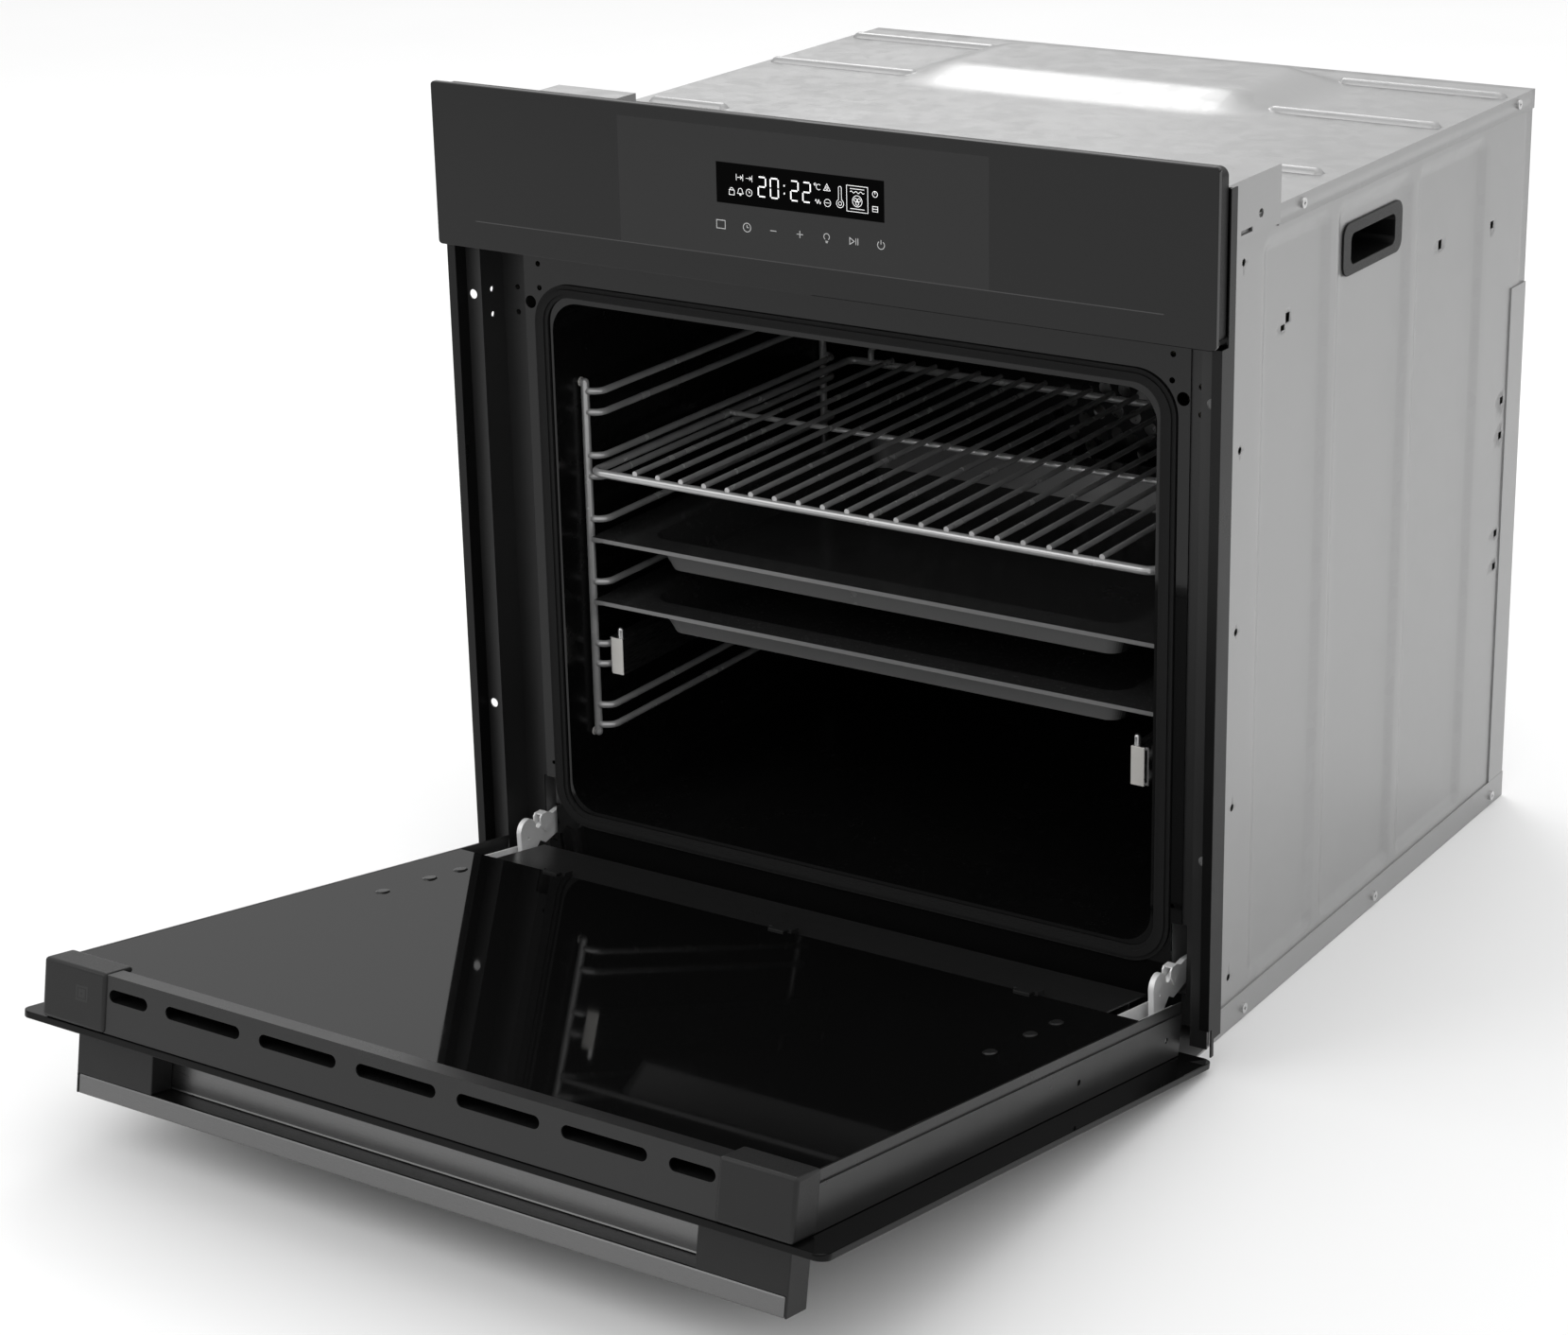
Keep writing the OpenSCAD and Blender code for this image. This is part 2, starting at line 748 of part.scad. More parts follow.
module hinge_arm_shape() {
    difference() {
        yz_plate(arm_x) {
            // knuckle around the pin and the neck that rises to the claw
            translate([pivot_y, pivot_z]) circle(r = 5.4);
            polygon([[pivot_y - 5, pivot_z + 1], [pivot_y + 5, pivot_z - 1],
                [-6, 33], [2, 40], [8, 36], [17, 38], [26, 40], [27, 46.9], [33, 46.9],
                [34, 56], [24, 57], [12, 55], [4, 52], [0, 50], [-5, 53], [-12, 56],
                [-21, 52], [-20, 30]]);
            translate([-12, 52]) circle(r = 9);
        }
        x_rod([arm_x[0] - 1, arm_x[1] + 1], pivot_y, pivot_z, pin_r + 0.05);
        x_rod([arm_x[0] - 1, arm_x[1] + 1], -12, 46, 1.2);
    }
    // rivets that carry the lock lever
    x_rod([arm_x[0] - 1.6, arm_x[1] + 1.6], lever_y, lever_z, lever_pin_r);
}

module hinge_arm_left() { color("gainsboro") on_side(-1) hinge_arm_shape(); }
module hinge_arm_right() { color("gainsboro") on_side(1) hinge_arm_shape(); }

// A stirrup over the arm that locks the hinge for removing the door
module hinge_lever_shape() {
    play = 0.3;
    cheek = 1.2;
    inner = [arm_x[0] - play, arm_x[1] + play];
    outer = [inner[0] - cheek, inner[1] + cheek];
    difference() {
        union() {
            for (x = [[outer[0], inner[0]], [inner[1], outer[1]]]) yz_plate(x) {
                translate([lever_y, lever_z]) circle(r = 4);
                polygon([[lever_y + 4, lever_z], [lever_y - 3.5, lever_z - 2], [1, 54],
                    [1, 58], [3, 60], [9.5, 60], [14, 58], [16, 54]]);
            }
            slab(outer, [3.5, 9.5], [58.8, 60]);
        }
        x_rod([outer[0] - 1, outer[1] + 1], lever_y, lever_z, lever_pin_r + 0.05);
    }
}

module hinge_lever_left() { color("silver") on_side(-1) hinge_lever_shape(); }
module hinge_lever_right() { color("silver") on_side(1) hinge_lever_shape(); }

// ---------- door ----------

// A door section piece: k is depth from the outer glass, s is height
module door_slab(x, k, s) {
    slab(x, [glass_in + k[0], glass_in + k[1]], [front_z + s[0], front_z + s[1]]);
}

module door_outer_glass() {
    color("#18181a") on_door() xz_plate(glass_y, glass_t)
        round_rect([-half_w, half_w], [front_z, door_top], 8);
}

module door_middle_glass() {
    color("#303236") on_door() door_slab([-246, 246], [16, 20], [30, 455]);
}

module door_inner_glass() {
    color("#101012") on_door()
        door_slab([-door_half + 2.6, door_half - 2.6],
            [inner_glass_k, inner_glass_k + inner_glass_t], [68, door_h - 8]);
}

module door_side_profile_shape() {
    x1 = door_half;
    difference() {
        union() {
            door_slab([x1 - sheet, x1], [0.6, 29], [10, door_h - 2.4]);
            door_slab([x1 - 2 * sheet, x1 - sheet + eps], [27, 36.4], [10, door_h - 2.4]);
            door_slab([266, x1 - eps], [0.6, 0.6 + sheet], [10, door_h - 2.4]);
            door_slab([266, x1 - sheet], [31, 31 + sheet], [68, door_h - 2.4]);
        }
        // screw holes of the hinge body
        for (s = [30, 150]) x_rod([x1 - 4, x1 + 1], glass_in + 15, front_z + s, 2);
    }
}

module door_side_profile_left() {
    color("#3c3c3f") on_door() on_side(-1) door_side_profile_shape();
}

module door_side_profile_right() {
    color("#3c3c3f") on_door() on_side(1) door_side_profile_shape();
}

module door_top_trim() {
    s1 = door_h - 1;
    color("#5a5a5c") on_door() difference() {
        union() {
            door_slab([-door_half, door_half], [0.6, fold_k + sheet], [s1 - sheet, s1]);
            door_slab([-door_half, door_half], [fold_k, fold_k + sheet], [s1 - 14, s1]);
            door_slab([-265.8, 265.8], [0.6, 0.6 + sheet], [door_h - 22, s1]);
            // holder of the middle glass
            door_slab([-246, 246], [14.7, 15.8], [448, s1]);
            door_slab([-246, 246], [20.2, 21.3], [448, s1]);
        }
        // cooling air slots along the door's top edge
        for (i = [-2:2]) vent(i * 74.3, 59);
        for (i = [-1, 1]) vent(i * 208.4, 31);
    }
}

// One slot through the face of the top trim, 11 high
module vent(x, w) {
    for (end = [-1, 1])
        z_rod(x + end * (w / 2 - 4), glass_in + 25.5, [door_top - 2.6, door_top + 1], 4);
    slab([x - w / 2 + 4, x + w / 2 - 4], [glass_in + 21.5, glass_in + 29.5],
        [door_top - 2.6, door_top + 1]);
    slab([x - w / 2, x + w / 2], [glass_in + 25, glass_in + 26],
        [door_top - 2.6, door_top + 1]);
}

module door_bottom_profile() {
    color("#2a2a2c") on_door() union() {
        door_slab([-246, 246], [0.6, 0.6 + sheet], [4, 66]);
        door_slab([-246, 246], [0.6, 34], [4, 4 + sheet]);
        door_slab([-246, 246], [34 - sheet, 34], [4, 67]);
        door_slab([-246, 246], [14.7, 15.8], [24, 34]);
        door_slab([-246, 246], [14.7, 34], [28, 29]);
        // clips that hold the inner glass
        for (x = [-190, 0, 190])
            door_slab([x - 9, x + 9], [34 - eps, 37.6], [58, 67]);
        for (x = [-190, 0, 190])
            door_slab([x - 6, x + 6], [36.5, 37.6], [58, 73]);
    }
}

module corner_cap_shape() {
    difference() {
        door_slab([226, door_half + 1.4], [0.4, 38.6], [door_h - 24, door_h + 0.8]);
        door_slab([225, door_half + 0.1], [0, fold_k + sheet + 0.1], [door_h - 25, door_h - 0.9]);
    }
}

module corner_caps() {
    color("#58585a") on_door() both_sides() corner_cap_shape();
}

module hinge_bodies() {
    color("silver") on_door() both_sides() {
        difference() {
            union() {
                door_slab([248.4, 250], [0.6, 30], [1.5, 190]);
                door_slab([264, 265.6], [0.6, 30], [1.5, 190]);
                door_slab([248.4, 265.6], [0.6, 2.2], [90, 190]);
                door_slab([248.4, 265.6], [0.6, 30], [188, 190]);
            }
            x_rod([240, 270], pivot_y, pivot_z, pin_r);
        }
        // hinge pin
        x_rod([248.4, 265.6], pivot_y, pivot_z, pin_r);
    }
}

module hinge_springs() {
    color("darkgray") on_door() both_sides() difference() {
        z_rod(257, glass_in + 14, [front_z + 96, front_z + 187.9], 6.5);
        z_rod(257, glass_in + 14, [front_z + 95, front_z + 189], 4.5);
    }
}

module handle_bar() {
    x1 = handle_w / 2 - 1.5;
    y1 = glass_y - handle_out;
    color("#9a9a9c") on_door() union() {
        slab([-x1, x1], [y1, y1 + 13], [handle_z, handle_z + handle_t]);
        slab([-x1, x1], [y1 + 13 - eps, glass_y], [handle_z, handle_z + 2.5]);
    }
}

module handle_blocks() {
    x1 = handle_w / 2;
    y1 = glass_y - handle_out;
    color("#333335") on_door() both_sides() union() {
        slab([x1 - 62, x1 - 1.5], [y1 + 13, glass_y], [handle_z + 2.5, handle_z + handle_t]);
        slab([x1 - 1.5, x1], [y1, glass_y], [handle_z, handle_z + handle_t]);
    }
}

// ---------- shelf, trays and rails ----------

module wire_shelf() {
    y0 = shelf_y;
    y1 = shelf_y + shelf_d;
    x1 = shelf_half - rod_r;
    xb = x1 - frame_bend;
    cross_r = 2;
    cross_z = shelf_z + rod_r + cross_r - 0.8;
    spread = 372;
    stop_x = 205;
    stop_r = 2.5;
    stop_z = shelf_z + 14;
    stop_bend = 7;
    color("gainsboro") union() {
        x_rod([-xb, xb], y0, shelf_z, rod_r);
        x_rod([-xb, xb], y1, shelf_z, rod_r);
        x_rod([-x1, x1], y0 + shelf_d / 2, shelf_z + 0.6, rod_r - 1);
        both_sides() {
            y_rod(x1, [y0 + frame_bend, y1 - frame_bend], shelf_z, rod_r);
            wire_bend(xb, y0 + frame_bend, shelf_z, [0, 0, -90], frame_bend, rod_r);
            wire_bend(xb, y1 - frame_bend, shelf_z, [0, 0, 0], frame_bend, rod_r);
            // raised stop at the rear
            z_rod(stop_x, y1, [shelf_z, stop_z - stop_bend], stop_r);
            wire_bend(stop_x - stop_bend, y1, stop_z - stop_bend, [90, 0, 0], stop_bend, stop_r);
        }
        x_rod([stop_bend - stop_x, stop_x - stop_bend], y1, stop_z, stop_r);
        for (i = [0:shelf_rods - 1]) {
            x = -spread / 2 + i * spread / (shelf_rods - 1);
            y_rod(x, [y0 - 1, y1 + 1], cross_z, cross_r);
        }
    }
}

module tray(level) {
    z1 = rung(level) + rung_r + 0.3;
    y1 = shelf_y + shelf_d;
    color("#26262a") difference() {
        union() {
            slab([-shelf_half, shelf_half], [shelf_y, y1], [z1, z1 + tray_t]);
            slab([-shelf_half, shelf_half], [shelf_y, shelf_y + tray_t],
                [z1 - tray_lip, z1 + eps]);
            slab([-205, 205], [y1 - tray_t, y1], [z1 - tray_lip, z1 + eps]);
            tray_body(0, z1 + eps);
        }
        tray_body(tray_t, z1 + tray_t);
    }
}

// The tapered volume of a tray, shrunk by the wall thickness
module tray_body(wall, top) {
    x_top = tray_half - wall;
    x_low = tray_half - 10 - wall;
    y_top = [shelf_y + 20 + wall, shelf_y + shelf_d - 20 - wall];
    y_low = [y_top[0] + 10, y_top[1] - 10];
    low = top - tray_depth;
    hull() {
        translate([0, 0, top - eps]) linear_extrude(2 * eps)
            round_rect([-x_top, x_top], y_top, 16);
        translate([0, 0, low]) linear_extrude(eps)
            round_rect([-x_low, x_low], y_low, 12);
    }
}

module tray_upper() { tray(3); }
module tray_lower() { tray(2); }

// Channel section of a rail: web on one side, two lips on the other
module rail_channel(x_web, x_lip, y, z, h) {
    web = x_web > x_lip ? [x_web - 1.2, x_web] : [x_web, x_web + 1.2];
    lips = x_web > x_lip ? [x_lip, x_web] : [x_web, x_lip];
    slab(web, y, [z, z + h]);
    slab(lips, y, [z, z + 2]);
    slab(lips, y, [z + h - 2, z + h]);
}

module rail_fixed_shape() {
    rail_channel(web_x, web_x - 5.8, [rail_y[0] + 0.4, rail_y[1]], rail_z, rail_h);
    // hooks over the rungs
    for (y = [rail_y[0] + 30, rail_y[1] - 40])
        slab([web_x - eps, web_x + gap], [y, y + 14], [rail_z, rail_z + rail_h]);
}

module rails_fixed() { color("silver") both_sides() rail_fixed_shape(); }

module rail_mid_shape() {
    slab([web_x - 10.6, web_x - 1.6], [rail_y[0] + 2, rail_y[1] - 4],
        [rail_z + 2.4, rail_z + rail_h - 2.4]);
}

module rail_mid_left() { color("silver") on_side(-1) rail_mid_shape(); }
module rail_mid_right() { color("silver") on_side(1) rail_mid_shape(); }

module rail_outer_shape() {
    x0 = web_x - 12.2;
    top = rail_z + rail_h;
    rail_channel(x0, x0 + 5.8, rail_y, rail_z, rail_h);
    slab([x0, x0 + 10], [rail_y[0] - 1.6, rail_y[0] + eps], [rail_z, top]);
    // peg that keeps a tray in place
    z_rod(x0 + 3.4, rail_y[0] + 1.4, [top - eps, top + 6], 2.4);
    ball(x0 + 3.4, rail_y[0] + 1.4, top + 6, 2.4);
    slab([x0, x0 + 2.5], [rail_y[1] - 3, rail_y[1]], [top - eps, top + 7]);
}

module rail_outer_left() { color("silver") on_side(-1) rail_outer_shape(); }
module rail_outer_right() { color("silver") on_side(1) rail_outer_shape(); }

base_pan();
side_panel_left();
side_panel_right();
top_cover();
rear_panel();
front_plate();
mounting_flange_left();
mounting_flange_right();
edge_trim_left();
edge_trim_right();
control_brackets();
panel_backing();
panel_glass();
control_board();
display_module();
cavity_shell();
insulation();
door_gasket();
fan_baffle();
convection_fan();
fan_motor();
ring_element();
grill_element();
bottom_element();
cavity_lamp();
side_rack_left();
side_rack_right();
rack_bushes();
cooling_fan();
cooling_duct();
cooling_motor();
terminal_block();
carry_grips();
hinge_receivers();
case_screws();
hinge_arm_left();
hinge_arm_right();
hinge_lever_left();
hinge_lever_right();
door_outer_glass();
door_middle_glass();
door_inner_glass();
door_side_profile_left();
door_side_profile_right();
door_top_trim();
door_bottom_profile();
corner_caps();
hinge_bodies();
hinge_springs();
handle_bar();
handle_blocks();
wire_shelf();
tray_upper();
tray_lower();
rails_fixed();
rail_mid_left();
rail_mid_right();
rail_outer_left();
rail_outer_right();
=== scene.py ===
import json
import math

import bmesh
import bpy
from mathutils import Matrix, Vector


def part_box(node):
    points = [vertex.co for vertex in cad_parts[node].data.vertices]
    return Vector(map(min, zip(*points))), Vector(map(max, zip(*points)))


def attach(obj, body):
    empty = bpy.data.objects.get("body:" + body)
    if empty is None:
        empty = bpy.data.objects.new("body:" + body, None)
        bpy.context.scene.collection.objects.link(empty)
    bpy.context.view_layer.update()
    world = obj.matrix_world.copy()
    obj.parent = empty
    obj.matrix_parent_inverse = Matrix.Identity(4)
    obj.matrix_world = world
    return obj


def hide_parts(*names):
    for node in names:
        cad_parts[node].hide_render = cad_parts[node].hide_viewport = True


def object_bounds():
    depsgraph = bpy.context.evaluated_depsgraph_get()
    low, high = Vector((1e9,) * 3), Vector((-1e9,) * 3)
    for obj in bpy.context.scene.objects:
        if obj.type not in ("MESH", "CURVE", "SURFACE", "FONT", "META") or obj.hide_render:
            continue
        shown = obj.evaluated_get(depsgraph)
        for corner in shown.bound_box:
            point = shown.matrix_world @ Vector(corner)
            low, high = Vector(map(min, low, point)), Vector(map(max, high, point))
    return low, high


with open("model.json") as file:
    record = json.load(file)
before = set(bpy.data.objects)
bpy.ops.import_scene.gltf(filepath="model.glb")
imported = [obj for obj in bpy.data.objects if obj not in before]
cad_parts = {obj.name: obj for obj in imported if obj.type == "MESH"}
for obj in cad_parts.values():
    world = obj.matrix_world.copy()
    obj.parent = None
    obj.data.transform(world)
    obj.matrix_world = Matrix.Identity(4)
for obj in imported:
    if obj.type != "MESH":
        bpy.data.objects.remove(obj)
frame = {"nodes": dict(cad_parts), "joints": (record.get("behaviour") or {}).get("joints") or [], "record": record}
cad_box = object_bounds()

MM = 0.001
DOOR_OPEN = math.radians(79.5)

# ---------- places read from the frame ----------

PANEL_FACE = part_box("panel_glass")[0].y / MM
door_joint = next(j for j in frame["joints"] if j["name"] == "door_hinge")
DOOR_PIVOT = Vector(door_joint["pos_m"])


# ---------- materials ----------

class Surface:
    """A Principled material and short calls that add procedural nodes to it."""

    def __init__(self, name, colour, roughness=0.5, metallic=0.0, **sockets):
        self.material = bpy.data.materials.new(name)
        self.material.use_nodes = True
        self.tree = self.material.node_tree
        self.shader = self.tree.nodes["Principled BSDF"]
        self.shader.inputs["Base Color"].default_value = (*colour, 1.0)
        self.shader.inputs["Roughness"].default_value = roughness
        self.shader.inputs["Metallic"].default_value = metallic
        for key, value in sockets.items():
            self.shader.inputs[key.replace("_", " ")].default_value = value

    def add(self, kind, values=None, links=None, **settings):
        node = self.tree.nodes.new(kind)
        for key, value in settings.items():
            setattr(node, key, value)
        for key, value in (values or {}).items():
            node.inputs[key].default_value = value
        for key, socket in (links or {}).items():
            self.tree.links.new(socket, node.inputs[key])
        return node

    def coords(self, scale=(1, 1, 1), turn=(0, 0, 0), move=(0, 0, 0)):
        """Object coordinates, which are metres in the frame of the CAD."""
        source = self.add("ShaderNodeTexCoord")
        mapping = self.add("ShaderNodeMapping", {"Scale": scale, "Rotation": turn, "Location": move},
                           {"Vector": source.outputs["Object"]})
        return mapping.outputs["Vector"]

    def noise(self, scale, detail=3.0, rough=0.5, at=None):
        node = self.add("ShaderNodeTexNoise", {"Scale": scale, "Detail": detail, "Roughness": rough},
                        {"Vector": at or self.coords()})
        return node.outputs["Fac"]

    def cells(self, scale, feature="F1", at=None, output="Distance"):
        node = self.add("ShaderNodeTexVoronoi", {"Scale": scale}, {"Vector": at or self.coords()},
                        feature=feature)
        return node.outputs[output]

    def spread(self, value, low, high, to_low=0.0, to_high=1.0):
        """Maps low to high onto to_low to to_high, held at both ends."""
        node = self.add("ShaderNodeMapRange", {"From Min": low, "From Max": high, "To Min": to_low,
                                               "To Max": to_high}, {"Value": value})
        return node.outputs["Result"]

    def maths(self, operation, a, b):
        node = self.add("ShaderNodeMath", operation=operation)
        for i, term in enumerate((a, b)):
            if isinstance(term, (int, float)):
                node.inputs[i].default_value = term
            else:
                self.tree.links.new(term, node.inputs[i])
        return node.outputs["Value"]

    def blend(self, factor, a, b):
        """A colour from a to b; each is a colour or a socket."""
        node = self.add("ShaderNodeMix", data_type="RGBA")
        self.tree.links.new(factor, node.inputs["Factor"])
        for key, colour in ((6, a), (7, b)):
            if isinstance(colour, tuple):
                node.inputs[key].default_value = (*colour, 1.0)
            else:
                self.tree.links.new(colour, node.inputs[key])
        return node.outputs[2]

    def colour(self, socket):
        self.tree.links.new(socket, self.shader.inputs["Base Color"])
        return self

    def rough(self, socket):
        self.tree.links.new(socket, self.shader.inputs["Roughness"])
        return self

    def bump(self, height, distance, strength=1.0, under=None):
        node = self.add("ShaderNodeBump", {"Strength": strength, "Distance": distance}, {"Height": height})
        if under:
            self.tree.links.new(under, node.inputs["Normal"])
        self.tree.links.new(node.outputs["Normal"], self.shader.inputs["Normal"])
        return node.outputs["Normal"]

    def inside(self, x, z):
        """1 inside a rectangle in X and Z, in metres, and 0 outside it."""
        parts = self.add("ShaderNodeSeparateXYZ", links={"Vector": self.coords()})
        edge = 0.1 * MM
        mask = 1.0
        for axis, (low, high) in (("X", x), ("Z", z)):
            value = parts.outputs[axis]
            up = self.spread(value, low - edge, low + edge)
            down = self.spread(value, high - edge, high + edge, 1.0, 0.0)
            mask = self.maths("MULTIPLY", self.maths("MULTIPLY", up, down), mask)
        return mask


def shade(value, tint=(1.0, 1.0, 1.0)):
    return tuple(value * t for t in tint)


def brushed(name, tone, roughness, grain=(1, 40, 40), metallic=1.0):
    """Sheet metal with a fine drawn grain and a slow change of tone."""
    s = Surface(name, shade(tone), roughness, metallic)
    lines = s.noise(90, 4, 0.6, s.coords(grain))
    slow = s.noise(6, 3)
    mixed = s.maths("ADD", s.maths("MULTIPLY", lines, 0.5), s.maths("MULTIPLY", slow, 0.5))
    s.colour(s.blend(mixed, shade(tone * 0.88), shade(tone * 1.1)))
    s.rough(s.spread(lines, 0.25, 0.75, roughness - 0.06, roughness + 0.08))
    s.bump(lines, 0.02 * MM, 0.35)
    return s.material


def zinc(name, tone, roughness):
    """Galvanised sheet: faint crystal flakes, rolling marks and cloudy dull areas."""
    s = Surface(name, shade(tone), roughness, 0.75)
    flakes = s.cells(95, output="Color")
    flake_tone = s.add("ShaderNodeSeparateColor", links={"Color": flakes}).outputs["Red"]
    cloud = s.noise(7, 5, 0.6)
    marks = s.noise(30, 3, 0.5, s.coords((1, 1, 25)))
    mixed = s.maths("ADD", s.maths("MULTIPLY", flake_tone, 0.25),
                    s.maths("ADD", s.maths("MULTIPLY", cloud, 0.5), s.maths("MULTIPLY", marks, 0.25)))
    s.colour(s.blend(mixed, shade(tone * 0.86), shade(tone * 1.12)))
    s.rough(s.spread(mixed, 0.25, 0.75, roughness - 0.08, roughness + 0.1))
    s.bump(marks, 0.03 * MM, 0.3)
    return s.material


def satin_paint(name, tone, roughness, metallic=0.3, gloss=0.5):
    """Thin satin coating with orange peel and slight dust."""
    s = Surface(name, shade(tone), roughness, metallic, Specular_IOR_Level=gloss)
    peel = s.noise(900, 2, 0.5)
    dust = s.noise(12, 5, 0.65)
    s.colour(s.blend(dust, shade(tone * 0.85), shade(tone * 1.2)))
    s.rough(s.spread(dust, 0.3, 0.7, roughness - 0.05, roughness + 0.07))
    s.bump(peel, 0.03 * MM, 0.3)
    return s.material


def moulded(name, tone, roughness=0.55):
    """Plastic with a fine spark-eroded texture."""
    s = Surface(name, shade(tone), roughness, 0.0, Specular_IOR_Level=0.25)
    pits = s.cells(1500, "SMOOTH_F1")
    flow = s.noise(9, 4, 0.6)
    s.colour(s.blend(flow, shade(tone * 0.85), shade(tone * 1.18)))
    s.rough(s.spread(pits, 0.1, 0.6, roughness + 0.08, roughness - 0.05))
    s.bump(pits, 0.06 * MM, 0.5)
    return s.material


def enamel(name, tone, roughness, speck, gloss):
    """Vitreous enamel: near black, tiny light specks under a wavy glossy skin."""
    s = Surface(name, shade(tone), roughness, 0.0, Specular_IOR_Level=gloss)
    seeds = s.cells(900)
    chance = s.noise(260, 2, 0.5)
    dots = s.maths("MULTIPLY", s.spread(seeds, 0.12, 0.2, 1.0, 0.0), s.spread(chance, 0.52, 0.6))
    s.colour(s.blend(dots, shade(tone), shade(speck)))
    haze = s.noise(14, 5, 0.6)
    s.rough(s.spread(haze, 0.3, 0.7, roughness * 0.8, roughness * 1.5))
    s.bump(s.noise(140, 2, 0.4), 0.02 * MM, 0.25)
    return s.material


def tray_material():
    """Speckled tray enamel; the walls that face the door are painted a lighter grey, a painted reflection of the
    bright room.
    """
    s = Surface("tray_enamel", shade(0.02), 0.18, 0.0, Specular_IOR_Level=0.35)
    dots = s.maths("MULTIPLY", s.spread(s.cells(1000), 0.12, 0.2, 1.0, 0.0),
                   s.spread(s.noise(260, 2), 0.52, 0.6))
    # painted light: faces whose normal points towards the door (-Y) get a lighter grey (0.16 against 0.02), which
    # stands in for the room light they reflect
    source = s.add("ShaderNodeTexCoord")
    parts = s.add("ShaderNodeSeparateXYZ", links={"Vector": source.outputs["Normal"]})
    painted_light_facing = s.spread(parts.outputs["Y"], -0.8, -0.4, 1.0, 0.0)
    ground_with_painted_light = s.blend(painted_light_facing, shade(0.02), shade(0.16))
    s.colour(s.blend(dots, ground_with_painted_light, shade(0.2)))
    s.rough(s.spread(s.noise(14, 5, 0.6), 0.3, 0.7, 0.14, 0.28))
    s.bump(s.noise(140, 2, 0.4), 0.05 * MM, 0.25)
    return s.material


def dark_glass(name, tone, roughness=0.03, gloss=0.3):
    """Black printed glass with a faint haze of fingerprints in its roughness."""
    s = Surface(name, shade(tone), roughness, 0.0, Specular_IOR_Level=gloss)
    smear = s.noise(16, 6, 0.7)
    s.rough(s.spread(smear, 0.45, 0.75, roughness, roughness + 0.035))
    s.colour(s.blend(s.noise(3, 2), shade(tone * 0.9), shade(tone * 1.15)))
    return s


def panel_glass_material():
    """The printed zones of the control panel: touch field, display window and one fine line."""
    s = dark_glass("panel_glass_print", 0.004)
    base = s.blend(s.noise(3, 2), shade(0.0036), shade(0.0046))
    touch = s.inside((-142 * MM, 140 * MM), (506.6 * MM, 591 * MM))
    window = s.inside((-64 * MM, 64 * MM), (541 * MM, 568 * MM))
    line = s.inside((-264 * MM, 262 * MM), (505.9 * MM, 506.5 * MM))
    print_tone = s.blend(touch, base, shade(0.0115))
    with_window = s.blend(window, print_tone, shade(0.0006))
    s.colour(s.blend(line, with_window, shade(0.05)))
    s.tree.links.new(s.spread(window, 0, 1, 0.3, 0.02), s.shader.inputs["Specular IOR Level"])
    return s.material


def chrome(name, tone=0.42, metallic=0.4):
    """Bright plated wire, dulled by use."""
    s = Surface(name, shade(tone), 0.2, metallic)
    haze = s.noise(45, 4, 0.6)
    s.colour(s.blend(haze, shade(tone * 0.8), shade(tone * 1.2)))
    s.rough(s.spread(haze, 0.3, 0.7, 0.14, 0.3))
    s.bump(s.noise(500, 2), 0.01 * MM, 0.3)
    return s.material


def gasket_material():
    """Woven glass-fibre seal: small slanted strands."""
    s = Surface("gasket_weave", shade(0.008), 0.75, 0.0, Specular_IOR_Level=0.2)
    strands = s.add("ShaderNodeTexWave", {"Scale": 420, "Distortion": 2.0, "Detail": 2.0},
                    {"Vector": s.coords((1, 1, 1), (0.5, 0.7, 0.6))}).outputs["Fac"]
    s.colour(s.blend(strands, shade(0.004), shade(0.014)))
    s.bump(strands, 0.25 * MM, 0.6)
    return s.material


def wool_material():
    s = Surface("mineral_wool", (0.62, 0.56, 0.42), 0.95, 0.0)
    fibres = s.noise(120, 8, 0.8, s.coords((1, 6, 1)))
    s.colour(s.blend(fibres, (0.42, 0.36, 0.24), (0.8, 0.75, 0.6)))
    s.bump(fibres, 1.5 * MM, 0.8)
    return s.material


def board_material():
    s = Surface("circuit_board", (0.02, 0.16, 0.06), 0.4, 0.0)
    tracks = s.add("ShaderNodeTexBrick", {"Scale": 160, "Mortar Size": 0.08},
                   {"Vector": s.coords()}).outputs["Fac"]
    s.colour(s.blend(tracks, (0.012, 0.12, 0.045), (0.09, 0.3, 0.1)))
    s.bump(tracks, 0.04 * MM, 0.5)
    return s.material


def element_material():
    s = Surface("heating_tube", shade(0.03), 0.6, 0.3)
    scale = s.noise(60, 6, 0.7)
    s.colour(s.blend(scale, (0.016, 0.015, 0.014), (0.05, 0.045, 0.04)))
    s.bump(scale, 0.06 * MM, 0.5)
    return s.material


def motor_material():
    """Stacked laminations."""
    s = Surface("motor_stack", shade(0.2), 0.5, 0.8)
    sheets = s.add("ShaderNodeTexWave", {"Scale": 300, "Distortion": 0.0}, {"Vector": s.coords()},
                   bands_direction="Y").outputs["Fac"]
    s.colour(s.blend(sheets, shade(0.12), shade(0.26)))
    s.bump(sheets, 0.2 * MM, 0.5)
    return s.material


def lamp_material():
    s = Surface("lamp_lens", (0.75, 0.72, 0.62), 0.12, 0.0, Transmission_Weight=0.35)
    flutes = s.add("ShaderNodeTexWave", {"Scale": 90, "Distortion": 0.0}, {"Vector": s.coords()},
                   bands_direction="X").outputs["Fac"]
    s.colour(s.blend(flutes, (0.66, 0.63, 0.54), (0.82, 0.8, 0.72)))
    s.bump(flutes, 0.4 * MM, 0.5)
    return s.material


